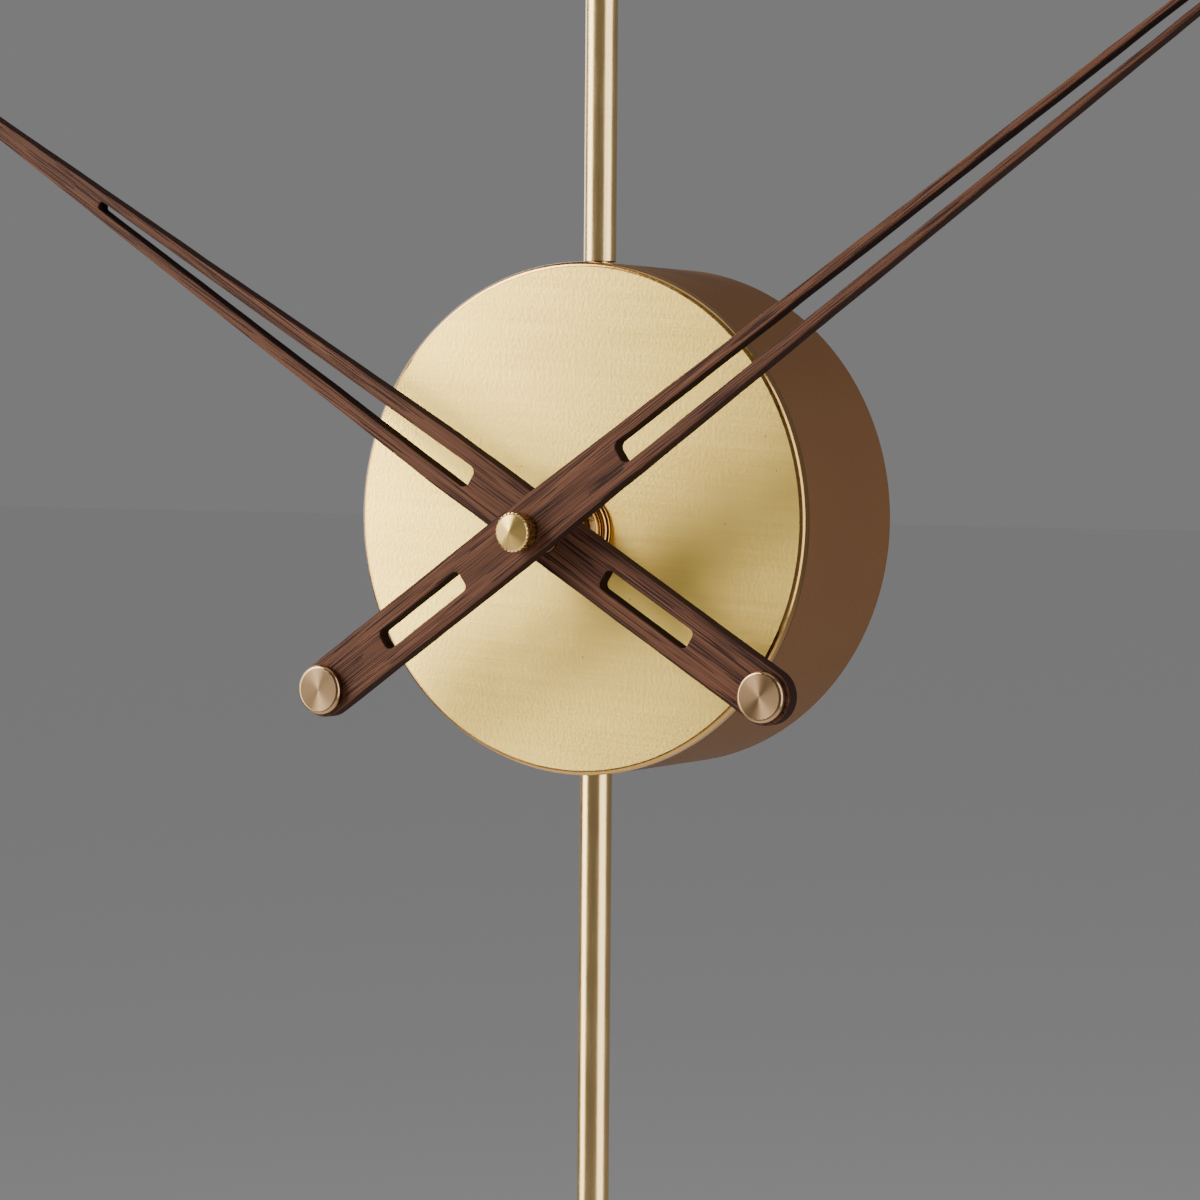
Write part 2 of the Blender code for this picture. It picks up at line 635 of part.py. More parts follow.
def make_finial():
    low = STEM_TOP + GAP
    bore = SPIGOT_RADIUS + SEAT
    bore_top = STEM_TOP + FINIAL_NECK + GAP
    meeting = math.degrees(math.asin(FINIAL_NECK_RADIUS / FINIAL_RADIUS))
    ball_z = low + FINIAL_NECK + FINIAL_RADIUS * math.cos(math.radians(meeting))
    ball = arc(0, ball_z, FINIAL_RADIUS, meeting - 90, 90, FINIAL_STEPS)[:-1]
    profile = [(0, bore_top), (bore, bore_top), (bore, low), (FINIAL_NECK_RADIUS, low)]
    profile += ball + [(0, ball_z + FINIAL_RADIUS)]
    finial = solid("stem_finial", lathe(profile, TURNED_SEGMENTS, "Z"), POLISHED_BRASS, CASE, smooth=True)
    finial.location = (0, ROD_DEPTH, 0)


# Movement: housing and fixed parts


def movement_outline(inset):
    half = MOVEMENT_WIDTH / 2 - inset
    tall = MOVEMENT_HEIGHT / 2 - inset
    return rounded(rectangle(-half, -tall, half, tall), MOVEMENT_CORNER - inset)


def make_movement_front():
    split = MOVEMENT_FRONT + MOVEMENT_SPLIT
    shaft_hole = circle(BUSHING_RADIUS + GAP, TURNED_SEGMENTS)
    block = prism(movement_outline(0), MOVEMENT_FRONT, split, [shaft_hole])
    front = solid("movement_front", block, HOUSING_PLASTIC, SHAFT_AXIS)
    cut(front, prism(movement_outline(MOVEMENT_WALL), INSIDE_FRONT, split + OVERLAP), "front_cavity")


def make_movement_rear():
    start = MOVEMENT_FRONT + MOVEMENT_SPLIT + GAP
    rear = solid("movement_rear", prism(movement_outline(0), start, MOVEMENT_BACK), HOUSING_PLASTIC, SHAFT_AXIS)
    half = MOVEMENT_WIDTH / 2 - MOVEMENT_WALL
    tall = MOVEMENT_HEIGHT / 2 - MOVEMENT_WALL
    corner = MOVEMENT_CORNER - MOVEMENT_WALL
    gears = rounded(rectangle(-half, MOVEMENT_WALL - PARTITION_DROP, half, tall), corner)
    cut(rear, prism(gears, start - OVERLAP, INSIDE_BACK), "gear_cavity")
    bay = rounded(rectangle(-half, -tall, half, -PARTITION_DROP), corner)
    cut(rear, prism(bay, start - OVERLAP, MOVEMENT_BACK + OVERLAP), "battery_bay")
    boss = cylinder(PIVOT_BOSS_RADIUS, MOVEMENT_BACK - OVERLAP, MOVEMENT_BACK + PIVOT_BOSS, SMALL_SEGMENTS)
    fuse(rear, boss, "pivot_boss", (0, 0, PIVOT_RISE))
    socket = cylinder(PIVOT_RADIUS + GAP, INSIDE_BACK + GAP, MOVEMENT_BACK + PIVOT_BOSS + OVERLAP, ARBOR_SEGMENTS)
    cut(rear, socket, "pivot_socket", (0, 0, PIVOT_RISE))
    knob_hole = cylinder(MOTION_ARBOR + OVERLAP, INSIDE_BACK - OVERLAP, MOVEMENT_BACK + OVERLAP, ARBOR_SEGMENTS)
    cut(rear, knob_hole, "knob_hole", (MOTION[0], 0, MOTION[1] - SHAFT_Z))


def make_middle_plate():
    low, high = layer(MIDDLE_PLATE_LAYER)
    half = MOVEMENT_WIDTH / 2 - MOVEMENT_WALL - GAP
    tall = MOVEMENT_HEIGHT / 2 - MOVEMENT_WALL - GAP
    corners = rectangle(-half, MOVEMENT_WALL - PARTITION_DROP, half, tall)
    holes = [
        circle(SHAFT_RADIUS + OVERLAP, SMALL_SEGMENTS),
        circle(MOTION_ARBOR + OVERLAP, ARBOR_SEGMENTS, MOTION[0], MOTION[1] - SHAFT_Z),
    ]
    plate = prism(rounded(corners, MOVEMENT_CORNER - MOVEMENT_WALL), low, high, holes)
    solid("middle_plate", plate, BRUSHED_BRASS, SHAFT_AXIS)


def make_dial_fixing():
    bore = BUSHING_RADIUS + SEAT
    flange_low, flange_high = layer(FLANGE_LAYER)
    profile = [
        (BUSHING_BORE, -BUSHING_REACH),
        (BUSHING_RADIUS, -BUSHING_REACH),
        (BUSHING_RADIUS, flange_low),
        (BUSHING_RADIUS + BUSHING_FLANGE, flange_low),
        (BUSHING_RADIUS + BUSHING_FLANGE, flange_high),
        (BUSHING_BORE, flange_high),
    ]
    solid("mounting_bushing", lathe(profile, TURNED_SEGMENTS), POLISHED_BRASS, SHAFT_AXIS, smooth=True)
    rubber = ring(bore, RUBBER_RADIUS, FACE_BACK + GAP, FACE_BACK + GAP + RUBBER_THICKNESS, TURNED_SEGMENTS)
    solid("rubber_washer", rubber, RUBBER, SHAFT_AXIS, smooth=True)
    washer_front = -SEAT - DIAL_WASHER_THICKNESS
    washer = ring(bore, DIAL_WASHER_RADIUS, washer_front, -SEAT, LARGE_SEGMENTS)
    solid("dial_washer", washer, POLISHED_BRASS, SHAFT_AXIS, smooth=True)
    nut_back = washer_front - SEAT
    nut_front = nut_back - DIAL_NUT_THICKNESS
    profile = [
        (bore, nut_front),
        (DIAL_NUT_RADIUS - DIAL_NUT_CHAMFER, nut_front),
        (DIAL_NUT_RADIUS, nut_front + DIAL_NUT_CHAMFER),
        (DIAL_NUT_RADIUS, nut_back),
        (bore, nut_back),
    ]
    solid("dial_nut", lathe(profile, LARGE_SEGMENTS), POLISHED_BRASS, SHAFT_AXIS, smooth=True)


def make_battery():
    depth = INSIDE_FRONT + GAP + BATTERY_RADIUS
    half = BATTERY_LENGTH / 2
    profile = [
        (0, -half),
        (BATTERY_RADIUS, -half),
        (BATTERY_RADIUS, half),
        (BATTERY_TIP_RADIUS, half),
        (BATTERY_TIP_RADIUS, half + BATTERY_TIP),
        (0, half + BATTERY_TIP),
    ]
    battery = solid("battery", lathe(profile, TURNED_SEGMENTS, "X"), BATTERY_JACKET, SHAFT_AXIS, smooth=True)
    battery.location = (0, depth, -BATTERY_DROP)
    tall = CONTACT_HALF_WIDTH
    tip = half + BATTERY_TIP + GAP
    plate = rectangle(-tall, -tall, tall, tall)
    positive = prism(plate, tip, tip + CONTACT_THICKNESS, axis="X")
    contact = solid("battery_contact_positive", positive, STEEL, SHAFT_AXIS)
    contact.location = (0, depth, -BATTERY_DROP)
    # The negative contact is a leaf bent into a V, which presses on the battery's flat end.
    near = -half - GAP
    far = CONTACT_THICKNESS + MOVEMENT_WALL - MOVEMENT_WIDTH / 2
    thick = CONTACT_THICKNESS
    leaf = [
        (far, -tall),
        (far + thick, -tall),
        (near, 0),
        (far + thick, tall),
        (far, tall),
        (near - 2 * thick, 0),
    ]
    negative = prism(leaf, -tall, tall)
    contact = solid("battery_contact_negative", negative, STEEL, SHAFT_AXIS)
    contact.location = (0, depth, -BATTERY_DROP)


def make_motor():
    """The coil, its core and the stator that turn the rotor, and the board that drives them."""
    rotor = (ROTOR[0], ROTOR[1] - SHAFT_Z)
    low, high = layer(STATOR_LAYER)
    left, right = STATOR_ENDS
    corners = rectangle(left, rotor[1] - STATOR_HALF_HEIGHT, right, rotor[1] + STATOR_HALF_HEIGHT)
    rotor_hole = circle(ROTOR_MAGNET_RADIUS + 2 * RUNNING, SMALL_SEGMENTS, *rotor)
    solid("stator", prism(rounded(corners, MOVEMENT_WALL), low, high, [rotor_hole]), STEEL, SHAFT_AXIS)
    left, right = COIL_ENDS
    bore = COIL_CORE_RADIUS + GAP
    profile = [
        (bore, left),
        (COIL_RADIUS, left),
        (COIL_RADIUS, left + COIL_FLANGE),
        (COIL_WINDING_RADIUS, left + COIL_FLANGE),
        (COIL_WINDING_RADIUS, right - COIL_FLANGE),
        (COIL_RADIUS, right - COIL_FLANGE),
        (COIL_RADIUS, right),
        (bore, right),
    ]
    place = (0, INSIDE_FRONT + COIL_AXIS_DEPTH, rotor[1])
    coil = solid("drive_coil", lathe(profile, SMALL_SEGMENTS, "X"), COPPER_WIRE, SHAFT_AXIS, smooth=True)
    coil.location = place
    core_mesh = cylinder(COIL_CORE_RADIUS, left - COIL_FLANGE, right + COIL_FLANGE, ARBOR_SEGMENTS, "X")
    core = solid("coil_core", core_mesh, STEEL, SHAFT_AXIS, smooth=True)
    core.location = place
    low, high = layer(BOARD_LAYER)
    solid("circuit_board", prism(rectangle(*BOARD_BOX), low, high), BOARD_GREEN, SHAFT_AXIS)


def make_pendulum_drive():
    low, high = layer(PENDULUM_COIL_LAYER)
    coil_mesh = ring(PENDULUM_COIL_BORE, PENDULUM_COIL_RADIUS, low, high, TURNED_SEGMENTS)
    coil = solid("pendulum_coil", coil_mesh, COPPER_WIRE, SHAFT_AXIS, smooth=True)
    coil.location = (0, 0, -PENDULUM_COIL_DROP)
    head = HANGER_BACK + GAP
    profile = [
        (0, INSIDE_BACK + 2 * GAP),
        (PIVOT_RADIUS, INSIDE_BACK + 2 * GAP),
        (PIVOT_RADIUS, head),
        (PIVOT_HEAD_RADIUS, head),
        (PIVOT_HEAD_RADIUS, head + PIVOT_HEAD),
        (0, head + PIVOT_HEAD),
    ]
    pin = solid("pendulum_pivot_pin", lathe(profile, SMALL_SEGMENTS), STEEL, SHAFT_AXIS, smooth=True)
    pin.location = (0, 0, PIVOT_RISE)


# Movement: gears. A pair meshes where a tooth of one points at a gap of the other.


def tooth_towards(direction):
    return direction


def gap_towards(direction, teeth):
    return direction + 180 / teeth


def make_arbor_gear(name, axis, wheel, pinion, arbor):
    """A moulded wheel: (teeth, module, angle, layer) for the wheel and the pinion, on one arbor."""
    teeth, module, angle, span = wheel
    gear = solid(name, prism(gear_outline(teeth, module, angle), *layer(span)), GEAR_PLASTIC, axis)
    teeth, module, angle, span = pinion
    fuse(gear, prism(gear_outline(teeth, module, angle), *layer(span)), name + "_pinion")
    radius, low, high = arbor
    fuse(gear, cylinder(radius, low, high, ARBOR_SEGMENTS), name + "_arbor")


def make_hour_wheel():
    wheel_teeth, _, module = HOUR_MESH
    low, high = layer(HOUR_LAYER)
    outline = gear_outline(wheel_teeth, module, tooth_towards(MOTION_DIRECTION))
    wheel = solid("hour_wheel", prism(outline, low, high), GEAR_PLASTIC, SHAFT_AXIS)
    tube_front = -HOUR_FRONT - GAP
    fuse(wheel, cylinder(HOUR_TUBE_RADIUS, tube_front, high - OVERLAP, TURNED_SEGMENTS), "hour_tube")
    cut(wheel, cylinder(HOUR_TUBE_BORE, tube_front - OVERLAP, high + OVERLAP, TURNED_SEGMENTS), "hour_tube_bore")


def make_minute_shaft():
    head_low, head_high = layer(SHAFT_HEAD_LAYER)
    profile = [
        (0, -SHAFT_TIP),
        (SHAFT_RADIUS, -SHAFT_TIP),
        (SHAFT_RADIUS, head_low),
        (SHAFT_HEAD_RADIUS, head_low),
        (SHAFT_HEAD_RADIUS, head_high),
        (0, head_high),
    ]
    shaft = solid("minute_shaft", lathe(profile, SMALL_SEGMENTS), STEEL, SHAFT_AXIS, smooth=True)
    _, pinion_teeth, module = MOTION_MESH
    outline = gear_outline(pinion_teeth, module, tooth_towards(MOTION_DIRECTION))
    fuse(shaft, prism(outline, *layer(CANNON_LAYER)), "cannon_pinion")
    low, high = layer(CLUTCH_LAYER)
    clutch = ring(SHAFT_RADIUS + SEAT, CLUTCH_RADIUS, low, high, SMALL_SEGMENTS)
    solid("clutch_washer", clutch, STEEL, SHAFT_AXIS, smooth=True)


def make_motion_wheel():
    wheel_teeth, _, module = MOTION_MESH
    _, pinion_teeth, pinion_module = HOUR_MESH
    back = MOTION_DIRECTION + 180
    make_arbor_gear(
        "motion_wheel",
        MOTION_AXIS,
        (wheel_teeth, module, gap_towards(back, wheel_teeth), MOTION_LAYER),
        (pinion_teeth, pinion_module, gap_towards(back, pinion_teeth), MOTION_PINION_LAYER),
        (MOTION_ARBOR, layer(FLANGE_LAYER)[0], MOVEMENT_BACK + KNOB_SOCKET),
    )


def make_time_set_knob():
    start = MOVEMENT_BACK + GAP
    end = COVER_FRONT - KNOB_CLEARANCE
    bore = MOTION_ARBOR + SEAT
    bore_end = MOVEMENT_BACK + KNOB_SOCKET + GAP
    profile = [
        (0, bore_end),
        (bore, bore_end),
        (bore, start),
        (KNOB_STEM_RADIUS, start),
        (KNOB_STEM_RADIUS, end - KNOB_GRIP),
        (KNOB_RADIUS, end - KNOB_GRIP),
        (KNOB_RADIUS, end),
        (0, end),
    ]
    solid("time_set_knob", lathe(profile, TURNED_SEGMENTS), HOUSING_PLASTIC, MOTION_AXIS, smooth=True)


def make_centre_wheel():
    wheel_teeth, _, module = CENTRE_MESH
    low, high = layer(CENTRE_LAYER)
    outline = gear_outline(wheel_teeth, module, tooth_towards(THIRD_DIRECTION))
    bore = circle(SHAFT_RADIUS + RUNNING, SMALL_SEGMENTS)
    solid("centre_wheel", prism(outline, low, high, [bore]), GEAR_PLASTIC, SHAFT_AXIS)


def make_train():
    """The third, second and intermediate wheels, each driven by the pinion of the next."""
    stages = (
        ("third_wheel", THIRD_AXIS, THIRD_MESH, THIRD_LAYER, SECOND_DIRECTION,
         CENTRE_MESH, THIRD_PINION_LAYER, THIRD_DIRECTION),
        ("second_wheel", SECOND_AXIS, SECOND_MESH, SECOND_LAYER, INTERMEDIATE_DIRECTION,
         THIRD_MESH, SECOND_PINION_LAYER, SECOND_DIRECTION),
        ("intermediate_wheel", INTERMEDIATE_AXIS, INTERMEDIATE_MESH, INTERMEDIATE_LAYER, ROTOR_DIRECTION,
         SECOND_MESH, INTERMEDIATE_PINION_LAYER, INTERMEDIATE_DIRECTION),
    )
    for name, axis, mesh, span, onwards, driven_mesh, pinion_span, inwards in stages:
        wheel_teeth, _, module = mesh
        _, pinion_teeth, pinion_module = driven_mesh
        make_arbor_gear(
            name,
            axis,
            (wheel_teeth, module, tooth_towards(onwards), span),
            (pinion_teeth, pinion_module, gap_towards(inwards + 180, pinion_teeth), pinion_span),
            (WHEEL_ARBOR, *ARBOR_SPAN),
        )


def make_rotor():
    _, teeth, module = INTERMEDIATE_MESH
    arbor = cylinder(WHEEL_ARBOR, *ARBOR_SPAN, ARBOR_SEGMENTS)
    rotor = solid("rotor", arbor, GEAR_PLASTIC, ROTOR_AXIS, smooth=True)
    angle = gap_towards(ROTOR_DIRECTION + 180, teeth)
    fuse(rotor, prism(gear_outline(teeth, module, angle), *layer(ROTOR_PINION_LAYER)), "rotor_pinion")
    low, high = layer(ROTOR_MAGNET_LAYER)
    magnet = ring(WHEEL_ARBOR + SEAT, ROTOR_MAGNET_RADIUS, low, high, SMALL_SEGMENTS)
    solid("rotor_magnet", magnet, MAGNET_PLATING, ROTOR_AXIS, smooth=True)


# Hands. Each is drawn pointing at twelve, then turned about the shaft.


def hand_outline(reach, tail, taper_start):
    """A long blade with straight tapering sides, a small round tip and a round tail."""
    tip = arc(0, reach - TIP_HALF_WIDTH, TIP_HALF_WIDTH, 0, 180, HAND_TIP_STEPS)
    left = [(-HAND_HALF_WIDTH, taper_start)]
    tail_end = arc(0, -tail, HAND_HALF_WIDTH, 180, 360, HAND_TAIL_STEPS)
    right = [(HAND_HALF_WIDTH, taper_start)]
    return tip + left + tail_end + right


def slot_outline(span, near_half_width, far_half_width, corner):
    near, far = span
    corners = [
        (-near_half_width, near),
        (near_half_width, near),
        (far_half_width, far),
        (-far_half_width, far),
    ]
    return rounded(corners, corner)


def make_hand(name, angle, front, outline, slot_span, far_half_width, tail, hub_bore):
    """A walnut blade with its two slots, the bush on its shaft and the brass cap on its tail."""
    turned = math.radians(angle)
    hub_radius = hub_bore + HUB_WALL
    back = -front + HAND_THICKNESS
    holes = [
        slot_outline(slot_span, SLOT_HALF_WIDTH, far_half_width, far_half_width * 0.9),
        slot_outline(TAIL_SLOT_SPAN, TAIL_SLOT_HALF_WIDTH, TAIL_SLOT_HALF_WIDTH, SLOT_CORNER),
        circle(hub_radius + SEAT, TURNED_SEGMENTS),
        circle(CAP_STUD_RADIUS + SEAT, ARBOR_SEGMENTS, 0, -tail),
    ]
    blade = solid(f"{name}_hand_blade", prism(outline, -front, back, holes), WALNUT, SHAFT_AXIS)
    blade.rotation_euler.y = turned
    flange = hub_radius + HUB_FLANGE
    profile = [
        (hub_bore, -front),
        (hub_radius, -front),
        (hub_radius, back + SEAT),
        (flange, back + SEAT),
        (flange, back + SEAT + HUB_FLANGE),
        (hub_bore, back + SEAT + HUB_FLANGE),
    ]
    solid(f"{name}_hand_bush", lathe(profile, TURNED_SEGMENTS), POLISHED_BRASS, SHAFT_AXIS, smooth=True)
    cap_back = -front - SEAT
    cap_front = cap_back - CAP_THICKNESS
    edge = arc(CAP_RADIUS - CAP_EDGE, cap_front + CAP_EDGE, CAP_EDGE, -90, 0, CAP_EDGE_STEPS)
    profile = [(0, cap_front), *edge, (CAP_RADIUS, cap_back), (CAP_STUD_RADIUS, cap_back)]
    profile += [(CAP_STUD_RADIUS, cap_back + CAP_STUD_DEPTH), (0, cap_back + CAP_STUD_DEPTH)]
    cap = solid(f"{name}_tail_cap", lathe(profile, TURNED_SEGMENTS), ROSE_BRASS, SHAFT_AXIS, smooth=True)
    cap.location = (-tail * math.sin(turned), 0, -tail * math.cos(turned))


def make_hands():
    outline = hand_outline(HOUR_REACH, HOUR_TAIL, HOUR_TAPER_START)
    hour_bore = HOUR_TUBE_RADIUS + SEAT
    make_hand("hour", HOUR_ANGLE, HOUR_FRONT, outline, HOUR_SLOT_SPAN, HOUR_SLOT_FAR_HALF_WIDTH,
              HOUR_TAIL, hour_bore)
    outline = hand_outline(MINUTE_REACH, MINUTE_TAIL, MINUTE_TAPER_START)
    make_hand("minute", MINUTE_ANGLE, MINUTE_FRONT, outline, MINUTE_SLOT_SPAN, MINUTE_SLOT_FAR_HALF_WIDTH,
              MINUTE_TAIL, NUT_BORE)


def make_hand_nut():
    back = -MINUTE_FRONT - GAP
    rim = back - NUT_LENGTH
    bore_end = -SHAFT_TIP - GAP
    profile = [
        (0, rim - NUT_CONE),
        (NUT_PIP_RADIUS, rim - NUT_CONE),
        (NUT_RADIUS, rim),
        (NUT_RADIUS, back),
        (NUT_BORE, back),
        (NUT_BORE, bore_end),
        (0, bore_end),
    ]
    solid("hand_nut", lathe(profile, TURNED_SEGMENTS), POLISHED_BRASS, SHAFT_AXIS, smooth=True)


# Pendulum. It is drawn about its pivot, so heights are counted from there.


def make_hanger():
    """A steel strip behind the movement, bent forward under it into a shelf that carries the rod."""
    top = HANGER_HEAD
    shelf_top = SHELF_TOP - PIVOT_Z
    shelf_bottom = SHELF_BOTTOM - PIVOT_Z
    shelf_front = ROD_DEPTH - HANGER_HALF_WIDTH
    outline = [
        (HANGER_FRONT, top),
        (HANGER_BACK, top),
        (HANGER_BACK, shelf_bottom),
        (shelf_front, shelf_bottom),
        (shelf_front, shelf_top),
        (HANGER_FRONT, shelf_top),
    ]
    strip = prism(outline, -HANGER_HALF_WIDTH, HANGER_HALF_WIDTH, axis="X")
    hanger = solid("pendulum_hanger", strip, STEEL, PENDULUM_AXIS)
    eye = cylinder(PIVOT_RADIUS + PIVOT_CLEARANCE, HANGER_FRONT - OVERLAP, HANGER_BACK + OVERLAP, SMALL_SEGMENTS)
    cut(hanger, eye, "pivot_eye")
    hole = cylinder(ROD_SPIGOT_RADIUS + GAP, shelf_bottom - OVERLAP, shelf_top + OVERLAP, SMALL_SEGMENTS, "Z")
    cut(hanger, hole, "rod_hole", (0, ROD_DEPTH, 0))
    back = HANGER_FRONT - GAP
    magnet_mesh = cylinder(MAGNET_RADIUS, back - MAGNET_THICKNESS, back, SMALL_SEGMENTS)
    magnet = solid("pendulum_magnet", magnet_mesh, MAGNET_PLATING, PENDULUM_AXIS, smooth=True)
    magnet.location = (0, 0, -PIVOT_RISE - PENDULUM_COIL_DROP)


def make_rod():
    top = SHELF_BOTTOM - GAP
    nut_low = SHELF_TOP + GAP
    foot = BOB_TOP + GAP
    end = BOB_BOTTOM - GAP - RATING_NUT_HEIGHT - GAP
    profile = [
        (0, end),
        (ROD_SPIGOT_RADIUS, end),
        (ROD_SPIGOT_RADIUS, foot),
        (ROD_RADIUS, foot),
        (ROD_RADIUS, top),
        (ROD_SPIGOT_RADIUS, top),
        (ROD_SPIGOT_RADIUS, nut_low + ROD_NUT_HEIGHT + GAP),
        (0, nut_low + ROD_NUT_HEIGHT + GAP),
    ]
    profile = [(radius, along - PIVOT_Z) for radius, along in profile]
    rod = solid("pendulum_rod", lathe(profile, TURNED_SEGMENTS, "Z"), POLISHED_BRASS, PENDULUM_AXIS, smooth=True)
    rod.location = (0, ROD_DEPTH, 0)
    bore = [circle(ROD_SPIGOT_RADIUS + SEAT, SMALL_SEGMENTS)]
    low = nut_low - PIVOT_Z
    nut_mesh = prism(circle(ROD_NUT_RADIUS, 6), low, low + ROD_NUT_HEIGHT, bore, "Z")
    nut = solid("rod_nut", nut_mesh, STEEL, PENDULUM_AXIS)
    nut.location = (0, ROD_DEPTH, 0)


def make_bob():
    half = BOB_THICKNESS / 2
    profile = [
        (0, -half),
        (BOB_RADIUS - BOB_CHAMFER, -half),
        (BOB_RADIUS, BOB_CHAMFER - half),
        (BOB_RADIUS, half - BOB_CHAMFER),
        (BOB_RADIUS - BOB_CHAMFER, half),
        (0, half),
    ]
    bob = solid("pendulum_bob", lathe(profile, BOB_SEGMENTS), BRUSHED_BRASS, PENDULUM_AXIS, smooth=True)
    place = (0, ROD_DEPTH, BOB_Z - PIVOT_Z)
    bob.location = place
    reach = BOB_RADIUS + OVERLAP
    cut(bob, cylinder(ROD_SPIGOT_RADIUS + GAP, -reach, reach, SMALL_SEGMENTS, "Z"), "bob_bore", place)
    high = BOB_BOTTOM - GAP - PIVOT_Z
    nut_mesh = ring(ROD_SPIGOT_RADIUS + SEAT, RATING_NUT_RADIUS, high - RATING_NUT_HEIGHT, high, TURNED_SEGMENTS, "Z")
    nut = solid("rating_nut", nut_mesh, POLISHED_BRASS, PENDULUM_AXIS, smooth=True)
    nut.location = (0, ROD_DEPTH, 0)


make_case_shell()
make_face_plate()
make_rear_cover()
make_posts()
make_cover_screws()
make_stem()
make_stem_fixing()
make_finial()
make_movement_front()
make_movement_rear()
make_middle_plate()
make_dial_fixing()
make_battery()
make_motor()
make_pendulum_drive()
make_hour_wheel()
make_minute_shaft()
make_motion_wheel()
make_time_set_knob()
make_centre_wheel()
make_train()
make_rotor()
make_hands()
make_hand_nut()
make_hanger()
make_rod()
make_bob()
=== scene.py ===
"""Looks for the pendulum wall clock: finer pieces, materials, floor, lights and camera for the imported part.

Metres, +Z up, the dial faces -Y and the wall is the plane y = 0. Depths are counted from the dial's front
face, and heights from the middle of the drum, except where a piece turns about an axis of its own.
"""

import json
import math

import bmesh
import bpy
from mathutils import Matrix, Vector, noise
from mathutils.geometry import tessellate_polygon


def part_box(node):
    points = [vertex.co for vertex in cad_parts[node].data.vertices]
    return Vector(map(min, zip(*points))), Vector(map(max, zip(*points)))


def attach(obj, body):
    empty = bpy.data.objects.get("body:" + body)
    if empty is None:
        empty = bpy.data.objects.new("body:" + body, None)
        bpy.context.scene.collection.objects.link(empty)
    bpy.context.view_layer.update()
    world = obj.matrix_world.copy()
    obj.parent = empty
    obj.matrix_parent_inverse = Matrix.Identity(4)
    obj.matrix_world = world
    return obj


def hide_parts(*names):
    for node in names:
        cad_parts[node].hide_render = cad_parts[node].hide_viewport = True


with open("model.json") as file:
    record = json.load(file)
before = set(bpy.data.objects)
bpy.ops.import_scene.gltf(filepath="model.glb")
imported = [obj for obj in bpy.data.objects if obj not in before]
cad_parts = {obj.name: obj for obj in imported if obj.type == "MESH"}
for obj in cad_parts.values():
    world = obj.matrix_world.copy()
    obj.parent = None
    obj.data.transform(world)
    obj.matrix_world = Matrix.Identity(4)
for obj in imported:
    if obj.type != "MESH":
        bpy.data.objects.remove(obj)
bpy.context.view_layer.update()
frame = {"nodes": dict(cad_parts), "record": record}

MM = 0.001

# Camera, with its angles in degrees
CAMERA_PLACE = (0.4341, -0.7731, 0.0185)
CAMERA_YAW = 30.383
CAMERA_PITCH = -2.521
CAMERA_ROLL = 0.452
FOCAL_LENGTH = 109.0  # in millimetres
SENSOR_WIDTH = 36  # in millimetres

# The floor, well below the middle of the drum, because the clock hangs at eye level
FLOOR_Z = -1.5
FLOOR_HALF_SIZE = 60.0

# How finely shapes are cut
DRUM_SEGMENTS = 256
TURNED_SEGMENTS = 96
SHARP_ANGLE = 38  # in degrees
CORNER_STEPS = 3

# Points cut round each ridge of a knurl
KNURL_SAMPLES = 8

# Drum
RIM_DEPTH = 2.6 * MM  # of the dial plate's full width, in front of the shell
RIM_ROUNDING = 1.2 * MM
RIM_BAND = 1.1 * MM  # the part of the rim that is polished and not brushed, in a darker brass whose colour is painted shade
PLATE_STEP = 2.3 * MM  # from the rim in to the spigot that enters the shell
PLATE_BORE = 5.3 * MM
SHELL_WALL = 2 * MM
COVER_SEAT = 2.3 * MM
PENDULUM_SLOT = (10.7 * MM, 5 * MM)  # half its length and half its width
BATTERY_WINDOW = (27.5 * MM, 10.2 * MM)  # half its width and half its height
KEYHOLE_RISE = 38 * MM
KEYHOLE_HEAD = 4.6 * MM
KEYHOLE_SLOT = 2.3 * MM
KEYHOLE_LENGTH = 9 * MM
KNOB_HOLE = 8 * MM
SCREW_HOLE = 3.2 * MM

# Dial fixing
BUSHING_RADIUS = 5 * MM
BUSHING_BORE = 3.65 * MM
BUSHING_CLEARANCE = 5.15 * MM  # the bore of the washer and of the nut on the bushing
THREAD_DEPTH = 0.25 * MM
THREAD_PITCH = 0.75 * MM

# Hands. The angle is clockwise from twelve, in degrees. The taper is how far out the blade starts to narrow,
# the slot is where its main slot starts and ends, and far is half that slot's width at its outer end.
HANDS = {
    "hour": {
        "angle": -58.6, "reach": 232 * MM, "tail": 68.3 * MM, "taper": 33 * MM,
        "slot": (22.5 * MM, 150 * MM), "far": 1.0 * MM, "bore": 3.6 * MM,
    },
    "minute": {
        "angle": 55.0, "reach": 305 * MM, "tail": 66.5 * MM, "taper": -5 * MM,
        "slot": (31 * MM, 215 * MM), "far": 1.3 * MM, "bore": 2.35 * MM,
    },
}
HALF_WIDTH = 6.5 * MM
TIP_HALF_WIDTH = 0.7 * MM
SLOT_HALF_WIDTH = 2.7 * MM
SLOT_ROUNDING = 1.6 * MM
TAIL_SLOT = (-46 * MM, -19.5 * MM)
TAIL_SLOT_HALF_WIDTH = 2.45 * MM
TAIL_SLOT_ROUNDING = 1.3 * MM
EDGE_ROUNDING = 0.35 * MM
BUSH_WALL = 1.5 * MM
BUSH_FLANGE = 1.2 * MM  # how far the flange stands out, and its thickness
CAP_RADIUS = 5.8 * MM
CAP_EDGE_FROM = 5 * MM  # the radius where the turned face gives way to the polished edge
CAP_PIN_RADIUS = 2 * MM
CAP_PIN_LENGTH = 3 * MM
WOBBLE = 0.09 * MM  # how far the sawn edges wander
WOBBLE_SPACING = 3 * MM
WOBBLE_ACROSS = 300
WOBBLE_ALONG = 90
FINE_WOBBLE_ALONG = 260

